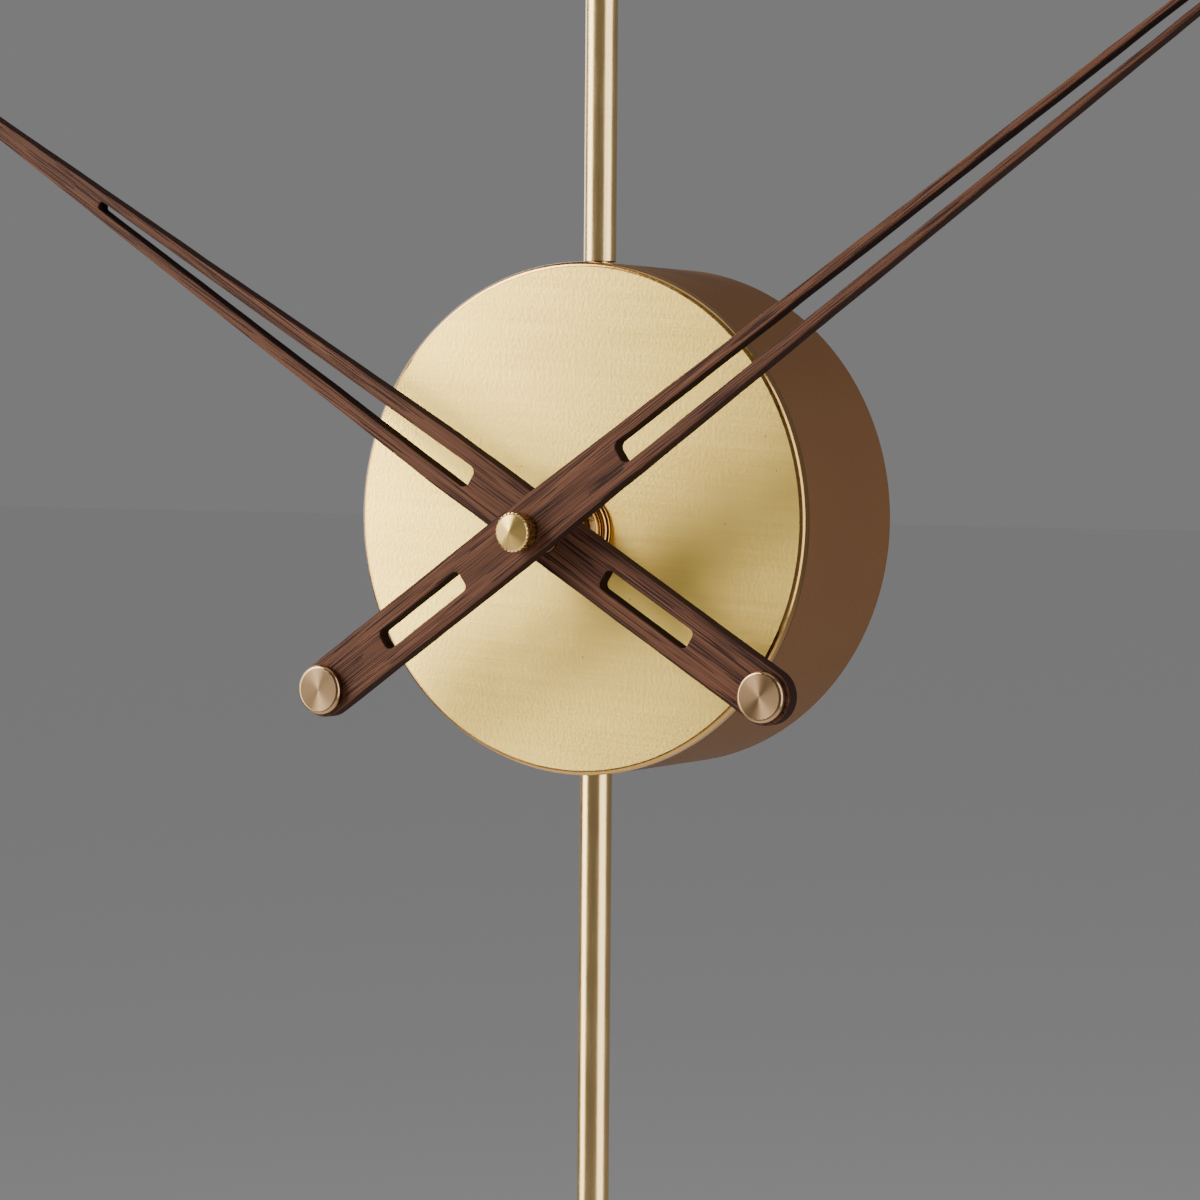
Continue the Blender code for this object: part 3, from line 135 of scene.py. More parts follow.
# Stem and pendulum
STEM_SPIGOT = 2.5 * MM
ROD_SPIGOT = 2 * MM
BOB_BEVEL = 1.2 * MM
BOB_BORE = 2.3 * MM
RATING_NUT_BORE = 2.15 * MM

# The palest and the deepest colour of the brushed brass
BRASS_PALE = (0.94, 0.67, 0.17)
BRASS_DEEP = (0.76, 0.49, 0.11)

# The Mix node's sockets when it mixes colours
MIX_FACTOR = 0
MIX_FIRST = 6
MIX_SECOND = 7
MIX_RESULT = 2

LOW = {}
HIGH = {}
for node_name in frame["nodes"]:
    LOW[node_name], HIGH[node_name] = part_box(node_name)

DIAL_Y = LOW["face_plate"].y
DRUM_RADIUS = HIGH["face_plate"].x
SHAFT_Z = (LOW["hand_nut"].z + HIGH["hand_nut"].z) / 2
ROD_Y = (LOW["upper_stem"].y + HIGH["upper_stem"].y) / 2


# Shapes


def circle(radius, count, across=0.0, up=0.0):
    turn = 2 * math.pi / count
    return [(across + radius * math.cos(i * turn), up + radius * math.sin(i * turn)) for i in range(count)]


def arc(across, up, radius, start, end, steps):
    """Points along an arc, from the angle start to the angle end, in degrees."""
    angles = [math.radians(start + (end - start) * i / steps) for i in range(steps + 1)]
    return [(across + radius * math.cos(a), up + radius * math.sin(a)) for a in angles]


def rounded(corners, steps=CORNER_STEPS, closed=True):
    """A line through (across, up, radius) corners, each one rounded off by an arc of its radius."""
    points = []
    last_index = len(corners) - 1
    for i, (across, up, radius) in enumerate(corners):
        here = Vector((across, up))
        if radius == 0 or (not closed and i in (0, last_index)):
            points.append((across, up))
            continue
        back = (Vector(corners[i - 1][:2]) - here).normalized()
        ahead = (Vector(corners[(i + 1) % len(corners)][:2]) - here).normalized()
        half = back.angle(ahead) / 2
        centre = here + (back + ahead).normalized() * radius / math.sin(half)
        first = here + back * radius / math.tan(half) - centre
        last = here + ahead * radius / math.tan(half) - centre
        start = math.atan2(first.y, first.x)
        sweep = (math.atan2(last.y, last.x) - start + math.pi) % (2 * math.pi) - math.pi
        for step in range(steps + 1):
            angle = start + sweep * step / steps
            points.append((centre.x + radius * math.cos(angle), centre.y + radius * math.sin(angle)))
    return points


# The corners of a rectangle, as signs, in order round it
RECTANGLE = ((-1, -1), (1, -1), (1, 1), (-1, 1))

# How a shape's own (across, up, along) axes lie in the clock's frame
AXES = {
    "Y": lambda across, up, along: (across, along, up),
    "X": lambda across, up, along: (along, across, up),
    "Z": lambda across, up, along: (across, up, along),
}


def lathe(
    corners, segments=TURNED_SEGMENTS, axis="Y", steps=CORNER_STEPS, ridges=0, ridge_depth=0.0, knurl=0.0
):
    """A turned shape through (radius, along, rounding) corners. Points at the knurl radius get ridges."""
    closed = corners[0][0] > 0
    profile = rounded(corners, steps, closed)
    if ridges:
        segments = ridges * KNURL_SAMPLES
    mesh = bmesh.new()
    rings = []
    for radius, along in profile:
        if radius <= 0:
            rings.append([mesh.verts.new(AXES[axis](0, 0, along))] * segments)
            continue
        points = []
        for i in range(segments):
            angle = 2 * math.pi * i / segments
            depth = 0.0
            if ridges and radius > knurl - ridge_depth / 2:
                depth = ridge_depth * (1 - abs(math.sin(ridges * angle / 2))) ** 2
            reach = radius - depth
            points.append(mesh.verts.new(AXES[axis](reach * math.cos(angle), reach * math.sin(angle), along)))
        rings.append(points)
    for i in range(0 if closed else 1, len(rings)):
        near, far = rings[i - 1], rings[i]
        for j in range(segments):
            mesh.faces.new(dict.fromkeys((near[j - 1], near[j], far[j], far[j - 1])))
    bmesh.ops.recalc_face_normals(mesh, faces=mesh.faces)
    return mesh


def inset(loop, distance, inwards):
    """The loop moved sideways: inwards for an outline, outwards for a hole."""
    area = sum(a[0] * b[1] - b[0] * a[1] for a, b in zip(loop, loop[1:] + loop[:1]))
    side = (1 if area > 0 else -1) * (1 if inwards else -1)
    moved = []
    for i, point in enumerate(loop):
        here = Vector(point)
        before = (here - Vector(loop[i - 1])).normalized()
        after = (Vector(loop[(i + 1) % len(loop)]) - here).normalized()
        normal = Vector((-before.y - after.y, before.x + after.x)).normalized()
        stretch = 1 / max(0.5, math.sqrt((1 + before.dot(after)) / 2))
        moved.append(tuple(here + normal * side * distance * stretch))
    return moved


def slab(outline, holes, low, high, rounding, axis="Y", wall_index=0):
    """A plate with rounded edges. The faces of its walls take the material slot wall_index."""
    mesh = bmesh.new()
    loops = [outline, *holes]
    rows = []
    for step in range(CORNER_STEPS + 1):
        angle = math.pi / 2 * step / CORNER_STEPS
        rows.append((rounding * (1 - math.sin(angle)), rounding * (1 - math.cos(angle))))
    levels = [(shift, low + rise) for shift, rise in rows]
    levels += [(shift, high - rise) for shift, rise in reversed(rows)]
    rings = []
    for shift, along in levels:
        ring = []
        for i, loop in enumerate(loops):
            points = inset(loop, shift, inwards=i == 0) if shift else loop
            ring.append([mesh.verts.new(AXES[axis](a, u, along)) for a, u in points])
        rings.append(ring)
    for ring, (shift, _) in ((rings[0], levels[0]), (rings[-1], levels[-1])):
        flat = [vert for loop in ring for vert in loop]
        shapes = [inset(loop, shift, inwards=i == 0) for i, loop in enumerate(loops)]
        for triangle in tessellate_polygon([[Vector((a, u, 0)) for a, u in shape] for shape in shapes]):
            mesh.faces.new([flat[i] for i in triangle])
    for level in range(1, len(rings)):
        wall = CORNER_STEPS <= level <= len(rings) - CORNER_STEPS
        for near, far in zip(rings[level - 1], rings[level]):
            for i in range(len(near)):
                face = mesh.faces.new((near[i - 1], near[i], far[i], far[i - 1]))
                face.material_index = wall_index if wall else 0
    bmesh.ops.recalc_face_normals(mesh, faces=mesh.faces)
    return mesh


# Pieces


def depths(node):
    """How far the front and the back of this node lie behind the dial's front face."""
    return LOW[node].y - DIAL_Y, HIGH[node].y - DIAL_Y


def piece(name, mesh, finishes, body, replaced=(), place=(0, 0, 0), turn=0.0):
    """One visible piece: its mesh, materials, the body it rides on and the nodes it stands for."""
    data = bpy.data.meshes.new(name)
    mesh.to_mesh(data)
    mesh.free()
    for finish in finishes:
        data.materials.append(finish)
    data.shade_smooth()
    data.set_sharp_from_angle(angle=math.radians(SHARP_ANGLE))
    made = bpy.data.objects.new(name, data)
    bpy.context.scene.collection.objects.link(made)
    made.location = place
    made.rotation_euler.y = turn
    normals = made.modifiers.new("flat_normals", "WEIGHTED_NORMAL")
    normals.keep_sharp = True
    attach(made, body)
    if replaced:
        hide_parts(*replaced)
    return made


def carve(target, mesh, place=(0, 0, 0)):
    """Cuts this shape out of a piece for good."""
    data = bpy.data.meshes.new("cutter")
    mesh.to_mesh(data)
    mesh.free()
    cutter = bpy.data.objects.new("cutter", data)
    cutter.location = place
    bpy.context.scene.collection.objects.link(cutter)
    boolean = target.modifiers.new("cut", "BOOLEAN")
    boolean.operation = "DIFFERENCE"
    boolean.solver = "EXACT"
    boolean.object = cutter
    target.modifiers.move(len(target.modifiers) - 1, 0)
    bpy.context.view_layer.update()
    with bpy.context.temp_override(object=target, active_object=target, selected_objects=[target]):
        bpy.ops.object.modifier_apply(modifier=boolean.name)
    bpy.data.objects.remove(cutter)
    target.data.set_sharp_from_angle(angle=math.radians(SHARP_ANGLE))


def softened(node, finish, body, width):
    """A copy of a CAD node with its triangles merged into whole faces and its edges rounded off."""
    mesh = bmesh.new()
    mesh.from_mesh(frame["nodes"][node].data)
    bmesh.ops.remove_doubles(mesh, verts=mesh.verts, dist=1e-6)
    bmesh.ops.dissolve_limit(mesh, angle_limit=math.radians(1), verts=mesh.verts, edges=mesh.edges)
    for face in mesh.faces:
        face.material_index = 0
    made = piece(node + "_finished", mesh, [finish], body, [node])
    rounding = made.modifiers.new("rounded_edges", "BEVEL")
    rounding.width = width
    rounding.segments = 2
    rounding.limit_method = "ANGLE"
    rounding.angle_limit = math.radians(SHARP_ANGLE)
    made.modifiers.move(1, 0)
    return made


# Materials


class Nodes:
    """Short ways to add and link nodes in one material."""

    def __init__(self, name):
        self.material = bpy.data.materials.new(name)
        self.material.use_nodes = True
        self.tree = self.material.node_tree
        self.shader = self.tree.nodes["Principled BSDF"]

    def add(self, kind, inputs=None, **settings):
        node = self.tree.nodes.new(kind)
        for key, value in settings.items():
            setattr(node, key, value)
        for key, value in (inputs or {}).items():
            self.set(node.inputs[key], value)
        return node

    def set(self, socket, value):
        if isinstance(value, bpy.types.NodeSocket):
            self.tree.links.new(value, socket)
        else:
            socket.default_value = value

    def surface(self, **inputs):
        for key, value in inputs.items():
            self.set(self.shader.inputs[key.replace("_", " ")], value)

    def place(self, scale=(1, 1, 1), rotation=(0, 0, 0)):
        """Object coordinates in metres, turned and then stretched."""
        coords = self.add("ShaderNodeTexCoord")
        turned = self.add("ShaderNodeMapping", {"Vector": coords.outputs["Object"], "Rotation": rotation})
        stretched = self.add("ShaderNodeMapping", {"Vector": turned.outputs[0], "Scale": scale})
        return stretched.outputs[0]

    def noise(self, vector, scale, detail=2.0, roughness=0.5):
        inputs = {"Vector": vector, "Scale": scale, "Detail": detail, "Roughness": roughness}
        return self.add("ShaderNodeTexNoise", inputs).outputs["Fac"]

    def span(self, value, from_low, from_high, to_low, to_high):
        inputs = {0: value, 1: from_low, 2: from_high, 3: to_low, 4: to_high}
        return self.add("ShaderNodeMapRange", inputs).outputs[0]

    def math(self, operation, first, second=0.0):
        node = self.add("ShaderNodeMath", operation=operation)
        self.set(node.inputs[0], first)
        self.set(node.inputs[1], second)
        return node.outputs[0]

    def mix(self, factor, first, second, blend="MIX"):
        node = self.add("ShaderNodeMix", data_type="RGBA", blend_type=blend)
        self.set(node.inputs[MIX_FACTOR], factor)
        self.set(node.inputs[MIX_FIRST], first)
        self.set(node.inputs[MIX_SECOND], second)
        return node.outputs[MIX_RESULT]

    def ramp(self, value, stops):
        node = self.add("ShaderNodeValToRGB", {0: value})
        elements = node.color_ramp.elements
        while len(elements) < len(stops):
            elements.new(0.5)
        for element, (at, colour) in zip(elements, stops):
            element.position = at
            element.color = (*colour, 1)
        return node.outputs["Color"]

    def bump(self, height, strength, distance, below=None):
        node = self.add("ShaderNodeBump", {"Strength": strength, "Distance": distance, "Height": height})
        if below is not None:
            self.set(node.inputs["Normal"], below)
        return node.outputs["Normal"]


def rgb(red, green, blue):
    return (red, green, blue, 1)


def brushed_brass():
    """Pale brass: fine, almost level brush lines, a faintly pebbled lacquer and a few tiny dark specks."""
    n = Nodes("brushed_brass")
    tilt = (0, math.radians(-4), 0)
    lines = n.noise(n.place((30, 1, 3000), tilt), 1.0, 3.0, 0.6)
    streaks = n.noise(n.place((9, 1, 420), tilt), 1.0, 2.0, 0.5)
    clouds = n.noise(n.place((1, 1, 2)), 18.0, 2.0, 0.5)
    pebble = n.noise(n.place(), 1150.0, 1.0, 0.5)
    tone = n.math("ADD", n.math("MULTIPLY", lines, 0.5), n.math("MULTIPLY", streaks, 0.5))
    colour = n.ramp(tone, [(0.35, BRASS_DEEP), (0.62, BRASS_PALE)])
    colour = n.mix(0.40, rgb(*BRASS_PALE), colour)
    parts = n.add("ShaderNodeSeparateXYZ", {0: n.place()})
    flat = n.add("ShaderNodeCombineXYZ", {0: parts.outputs["X"], 1: parts.outputs["Z"]})
    spots = n.add("ShaderNodeTexVoronoi", {"Vector": flat.outputs[0], "Scale": 40.0}, voronoi_dimensions="2D")
    speck = n.span(spots.outputs["Distance"], 0.005, 0.009, 1.0, 0.0)
    colour = n.mix(n.math("MULTIPLY", speck, 0.75), colour, rgb(0.16, 0.10, 0.05))
    n.surface(Base_Color=colour, Metallic=1.0, Anisotropic=0.85)
    n.surface(Roughness=n.span(n.math("ADD", lines, clouds), 0.6, 1.4, 0.30, 0.36))
    upright = n.add("ShaderNodeCombineXYZ", {2: 1.0})
    n.surface(Tangent=upright.outputs[0])
    grooves = n.bump(lines, 0.12, 0.00008)
    n.surface(Normal=n.bump(pebble, 0.18, 0.0001, grooves))
    return n.material


def polished_brass():
    n = Nodes("polished_brass")
    clouds = n.noise(n.place(), 35.0, 3.0, 0.6)
    fine = n.noise(n.place((1, 1, 0.04)), 2500.0, 2.0, 0.5)
    colour = n.mix(clouds, rgb(0.69, 0.46, 0.19), rgb(0.76, 0.545, 0.25))
    n.surface(Base_Color=colour, Metallic=1.0)
    n.surface(Roughness=n.span(n.math("ADD", fine, clouds), 0.6, 1.4, 0.20, 0.30))
    n.surface(Normal=n.bump(fine, 0.05, 0.00005))
    return n.material


def turned_brass(name, pale, deep, roughness):
    """A lathe-turned end: fine rings, and a highlight that fans out from the middle, across the rings."""
    n = Nodes(name)
    parts = n.add("ShaderNodeSeparateXYZ", {0: n.place()})
    square = n.math("ADD", n.math("POWER", parts.outputs["X"], 2.0), n.math("POWER", parts.outputs["Z"], 2.0))
    radius = n.math("SQRT", square)
    inputs = {"W": n.math("MULTIPLY", radius, 5200.0), "Detail": 2.0}
    rings = n.add("ShaderNodeTexNoise", inputs, noise_dimensions="1D").outputs["Fac"]
    colour = n.mix(rings, rgb(*deep), rgb(*pale))
    n.surface(Base_Color=colour, Metallic=1.0, Anisotropic=0.92)
    n.surface(Anisotropic_Rotation=0.25)
    n.surface(Roughness=n.span(rings, 0.2, 0.8, roughness - 0.05, roughness + 0.05))
    tangent = n.add("ShaderNodeTangent", direction_type="RADIAL", axis="Y")
    n.surface(Tangent=tangent.outputs[0])
    n.surface(Normal=n.bump(rings, 0.12, 0.00004))
    return n.material


def bronze_finish():
    n = Nodes("bronze_finish")
    clouds = n.noise(n.place(), 14.0, 3.0, 0.6)
    grain = n.noise(n.place(), 2200.0, 2.0, 0.6)
    colour = n.mix(clouds, rgb(0.073, 0.034, 0.014), rgb(0.086, 0.041, 0.017))
    n.surface(Base_Color=colour, Roughness=n.span(grain, 0.3, 0.7, 0.60, 0.75))
    n.surface(Specular_IOR_Level=0.12)
    n.surface(Normal=n.bump(grain, 0.10, 0.00006))
    return n.material


def walnut():
    """Walnut with its grain along the blade: broad bands, fine fibres and dark pores as long thin dashes."""
    n = Nodes("walnut")
    bands = n.noise(n.place((420, 420, 4)), 1.0, 3.0, 0.55)
    fibres = n.noise(n.place((4200, 4200, 40)), 1.0, 2.0, 0.6)
    pores = n.noise(n.place((4000, 4000, 60)), 1.0, 0.0, 0.5)
    crowding = n.noise(n.place((500, 500, 10)), 1.0, 1.0, 0.5)
    edge = n.span(crowding, 0.35, 0.65, 0.60, 0.53)
    pore_mask = n.span(n.math("SUBTRACT", pores, edge), 0.0, 0.03, 0.0, 1.0)
    tone = n.math("ADD", n.math("MULTIPLY", bands, 0.5), n.math("MULTIPLY", fibres, 0.5))
    shades = [(0.32, (0.038, 0.014, 0.007)), (0.50, (0.077, 0.030, 0.016)), (0.68, (0.132, 0.055, 0.030))]
    colour = n.mix(n.math("MULTIPLY", pore_mask, 0.9), n.ramp(tone, shades), rgb(0.014, 0.004, 0.003))
    n.surface(Base_Color=colour, Roughness=n.span(fibres, 0.3, 0.7, 0.62, 0.78))
    n.surface(Specular_IOR_Level=0.12)
    n.surface(Normal=n.bump(n.math("SUBTRACT", fibres, pore_mask), 0.5, 0.00012))
    return n.material


def walnut_edge():
    """The sawn and darkened walls of the hands."""
    n = Nodes("walnut_edge")
    fibres = n.noise(n.place((900, 1500, 45)), 1.0, 3.0, 0.6)
    colour = n.mix(fibres, rgb(0.009, 0.004, 0.003), rgb(0.021, 0.009, 0.007))
    n.surface(Base_Color=colour, Roughness=0.85)
    n.surface(Specular_IOR_Level=0.06)
    n.surface(Normal=n.bump(fibres, 0.08, 0.0001))
    return n.material


def plain(name, colour, darker, metallic, roughness, grain_scale=900.0, strength=0.08):
    """A material with slight cloudy colour change and a fine surface grain."""
    n = Nodes(name)
    clouds = n.noise(n.place(), 60.0, 3.0, 0.6)
    grain = n.noise(n.place(), grain_scale, 2.0, 0.5)
    n.surface(Base_Color=n.mix(clouds, rgb(*darker), rgb(*colour)), Metallic=metallic)
    n.surface(Roughness=n.span(grain, 0.3, 0.7, roughness - 0.05, roughness + 0.07))
    n.surface(Normal=n.bump(grain, strength, 0.0001))
    return n.material


BRUSHED = brushed_brass()
POLISHED = polished_brass()
NUT_FACE = turned_brass("turned_brass", (0.50, 0.345, 0.115), (0.36, 0.24, 0.07), 0.33)
CAP_FACE = turned_brass("turned_rose_brass", (0.25, 0.162, 0.088), (0.21, 0.133, 0.071), 0.46)
BRONZE = bronze_finish()
WALNUT = walnut()
WALNUT_EDGE = walnut_edge()
STEEL = plain("zinc_steel", (0.58, 0.58, 0.57), (0.45, 0.45, 0.46), 1.0, 0.32)
RUBBER = plain("black_rubber", (0.035, 0.035, 0.035), (0.02, 0.02, 0.02), 0.0, 0.75)
HOUSING = plain("moulded_black", (0.035, 0.035, 0.038), (0.02, 0.02, 0.022), 0.0, 0.45, 2600.0, 0.25)
ACETAL = plain("white_acetal", (0.80, 0.78, 0.70), (0.70, 0.68, 0.60), 0.0, 0.42)
COPPER = plain("copper_winding", (0.62, 0.26, 0.11), (0.45, 0.17, 0.07), 1.0, 0.30)
BOARD = plain("circuit_green", (0.03, 0.22, 0.08), (0.02, 0.15, 0.05), 0.0, 0.35)
JACKET = plain("battery_jacket", (0.10, 0.11, 0.13), (0.06, 0.065, 0.08), 0.2, 0.30)
MAGNET = plain("magnet_plating", (0.66, 0.66, 0.68), (0.52, 0.52, 0.55), 1.0, 0.22)
# A darker brass whose deep colour is painted shade: it stands for the shade on the rim band, the dark
# surroundings that the washer, nuts and bushing reflect, and the shadow between the hands
PAINTED_SHADE_BRASS = plain("brass_with_painted_shade", (0.46, 0.27, 0.09), (0.36, 0.20, 0.06), 1.0, 0.20, 900.0, 0.02)
CAP_EDGE = plain("rose_edge", (0.34, 0.21, 0.11), (0.29, 0.17, 0.085), 1.0, 0.20, 900.0, 0.0)
KNURL = plain("knurled_brass", (0.66, 0.42, 0.16), (0.58, 0.36, 0.13), 1.0, 0.24, 900.0, 0.0)

SLOT_FINISH = {
    "brushed_brass": BRUSHED,
    "polished_brass": POLISHED,
    "rose_brass": CAP_FACE,
    "bronze_finish": BRONZE,
    "walnut": WALNUT,
    "steel": STEEL,
    "rubber": RUBBER,
    "housing_plastic": HOUSING,
    "gear_plastic": ACETAL,
    "copper_wire": COPPER,
    "board_green": BOARD,
    "battery_jacket": JACKET,
    "magnet_plating": MAGNET,
}


# Drum


def make_dial_plate():
    """The round plate: a brushed face, and a rounded rim that is polished from RIM_BAND outwards, in a darker
    brass that paints the rim's shade.
    """
    back = HIGH["face_plate"].y - DIAL_Y
    spigot = DRUM_RADIUS - PLATE_STEP
    corners = [
        (0, 0, 0),
        (DRUM_RADIUS, 0, RIM_ROUNDING),
        (DRUM_RADIUS, RIM_DEPTH, 0.2 * MM),
        (spigot, RIM_DEPTH, 0.1 * MM),
        (spigot, back, 0.1 * MM),
        (0, back, 0),
    ]
    mesh = lathe(corners, DRUM_SEGMENTS, steps=8)
    for face in mesh.faces:
        middle = face.calc_center_median()
        face.material_index = int(math.hypot(middle.x, middle.z) > DRUM_RADIUS - RIM_BAND and middle.y > 0)
    # The rim band takes the darker brass: painted shade on the rim
    finishes = [BRUSHED, PAINTED_SHADE_BRASS]
    plate = piece("dial_plate", mesh, finishes, "case", ["face_plate"], (0, DIAL_Y, 0))
    hole = lathe([(0, -MM, 0), (PLATE_BORE, -MM, 0), (PLATE_BORE, 2 * back, 0), (0, 2 * back, 0)])
    carve(plate, hole, (0, DIAL_Y, SHAFT_Z))


def make_drum():
    """The tube of the drum, with a seat for the cover and the slot that the pendulum swings in."""
    front, back = depths("case_shell")
    bore = DRUM_RADIUS - SHELL_WALL
    rebate = back - COVER_SEAT
    corners = [
        (bore, front, 0.2 * MM),
        (DRUM_RADIUS, front, 0.3 * MM),
        (DRUM_RADIUS, back, 0.3 * MM),
        (bore + MM, back, 0.1 * MM),
        (bore + MM, rebate, 0.1 * MM),
        (bore, rebate, 0.1 * MM),
    ]
    mesh = lathe(corners, DRUM_SEGMENTS)
    shell = piece("drum_shell", mesh, [BRONZE], "case", ["case_shell"], (0, DIAL_Y, 0))
    half_length, half_width = PENDULUM_SLOT
    end_radius = half_width * 0.98  # just under half the width, so that no side of the slot vanishes
    slot = [(x * half_length, y * half_width, end_radius) for x, y in RECTANGLE]
    carve(shell, slab(rounded(slot, 8), [], -1.1 * DRUM_RADIUS, 0, 0.0, "Z"), (0, ROD_Y, 0))


def make_back_cover():
    """The rear cover, with its keyhole, battery window, knob hole and countersunk screw holes."""
    low, high = LOW["rear_cover"], HIGH["rear_cover"]
    battery_z = (LOW["battery"].z + HIGH["battery"].z) / 2
    half_width, half_height = BATTERY_WINDOW
    window = [(x * half_width, battery_z + z * half_height, 3 * MM) for x, z in RECTANGLE]
    half_angle = math.degrees(math.asin(KEYHOLE_SLOT / KEYHOLE_HEAD))
    keyhole = arc(0, KEYHOLE_RISE, KEYHOLE_HEAD, 90 + half_angle, 450 - half_angle, 32)
    keyhole += arc(0, KEYHOLE_RISE + KEYHOLE_LENGTH, KEYHOLE_SLOT, 0, 180, 16)
    holes = [keyhole, rounded(window, 8), circle(KNOB_HOLE, 64, *knob_centre())]
    holes += [circle(SCREW_HOLE, 32, x, z) for x, z in screw_places()]
    mesh = slab(circle(high.x, DRUM_SEGMENTS), holes, low.y, high.y, 0.25 * MM)
    piece("back_cover", mesh, [BRONZE], "case", ["rear_cover"])


def knob_centre():
    """The place of the knob's axis, as (x, z)."""
    low, high = LOW["time_set_knob"], HIGH["time_set_knob"]
    return ((low.x + high.x) / 2, (low.z + high.z) / 2)


def screw_places():
    """The places of the cover screws' axes, as (x, z)."""
    names = [f"cover_screw_{i}" for i in range(1, 5)]
    return [((LOW[n].x + HIGH[n].x) / 2, (LOW[n].z + HIGH[n].z) / 2) for n in names]


def make_cover_screws():
    """Countersunk screws with one straight groove each."""
    shank = 1.5 * MM
    groove = [(x * 4 * MM, z * 0.4 * MM) for x, z in RECTANGLE]
    for i, (x, z) in enumerate(screw_places(), 1):
        node = f"cover_screw_{i}"
        low, high = LOW[node].y, HIGH[node].y
        corners = [
            (0, low, 0),
            (shank, low, 0.2 * MM),
            (shank, high - 1.4 * MM, 0),
            (2.9 * MM, high, 0.12 * MM),
            (0, high, 0),
        ]
        screw = piece(f"screw_{i}", lathe(corners, 48), [STEEL], "case", [node], (x, 0, z))
        carve(screw, slab(groove, [], high - 0.7 * MM, high + MM, 0.0), (x, 0, z))


# Dial fixing


def make_dial_washer():
    front, back = depths("dial_washer")
    radius = HIGH["dial_washer"].x
    corners = [
        (BUSHING_CLEARANCE, front, 0),
        (radius - 0.9 * MM, front, 0.15 * MM),
        (radius - 0.7 * MM, front + 0.35 * MM, 0.15 * MM),
        (radius, front + 0.5 * MM, 0.3 * MM),
        (radius, back, 0.15 * MM),
        (BUSHING_CLEARANCE, back, 0),
    ]
    # The darker brass paints the shade of the dark surroundings that this polished brass reflects
    piece("washer", lathe(corners), [PAINTED_SHADE_BRASS], "case", ["dial_washer"], (0, DIAL_Y, SHAFT_Z))


def make_dial_nut():
    """A round nut with a domed front and one groove round its side."""
    front, back = depths("dial_nut")
    radius = HIGH["dial_nut"].x
    corners = [
        (BUSHING_CLEARANCE, front + 0.5 * MM, 0),
        (5.5 * MM, front, 0.2 * MM),
        (6.9 * MM, front + 0.4 * MM, 0.8 * MM),
        (radius, front + 1.6 * MM, 0.5 * MM),
        (radius, front + 2.3 * MM, 0.1 * MM),
        (radius - 0.35 * MM, front + 2.5 * MM, 0.1 * MM),
        (radius - 0.35 * MM, front + 2.8 * MM, 0.1 * MM),
        (radius, front + 3.0 * MM, 0.1 * MM),
        (radius, back, 0.2 * MM),
        (BUSHING_CLEARANCE, back, 0),
    ]
    # The darker brass paints the shade on the nut, which sits under the hands
    piece("ring_nut", lathe(corners), [PAINTED_SHADE_BRASS], "case", ["dial_nut"], (0, DIAL_Y, SHAFT_Z))


def make_threaded_bushing():
    """The tube that the hands' shafts pass through, with its thread as plain rings."""
    node = "mounting_bushing"
    front, back = depths(node)
    root = BUSHING_RADIUS - THREAD_DEPTH
    flange = HIGH[node].x
    flange_front = back - MM
    corners = [(BUSHING_BORE, front, 0.15 * MM), (root, front, 0.1 * MM)]
    for i in range(int((flange_front - front) / THREAD_PITCH)):
        along = front + (i + 0.3) * THREAD_PITCH
        corners.append((root, along, 0))
        corners.append((BUSHING_RADIUS, along + THREAD_PITCH / 2, 0))
    corners += [
        (root, flange_front, 0),
        (flange, flange_front, 0.1 * MM),
        (flange, back, 0.1 * MM),
        (BUSHING_BORE, back, 0),
    ]
    place = (0, DIAL_Y, SHAFT_Z)
    # The darker brass paints the shade on the bushing, which sits under the hands
    piece("threaded_bushing", lathe(corners), [PAINTED_SHADE_BRASS], "case", [node], place)


# Hands. Each blade is drawn pointing at twelve and turned about the shaft.


def hand_sawn(loop, seed):
    """Long straight runs of the loop split into short ones, each point moved sideways by a slow noise."""
    points = []
    for i, point in enumerate(loop):
        start = Vector(loop[i - 1])
        end = Vector(point)
        run = end - start
        steps = max(1, int(run.length / WOBBLE_SPACING))
        if steps > 2:
            side = Vector((-run.y, run.x)).normalized()
            for step in range(1, steps):
                at = start + run * step / steps
                shift = noise.noise(Vector((at.x * WOBBLE_ACROSS, at.y * WOBBLE_ALONG, seed)))
                fine = noise.noise(Vector((at.x * WOBBLE_ACROSS, at.y * FINE_WOBBLE_ALONG, seed + 5)))
                shift += 0.6 * fine
                points.append(tuple(at + side * shift * WOBBLE))
        points.append(tuple(end))
    return points


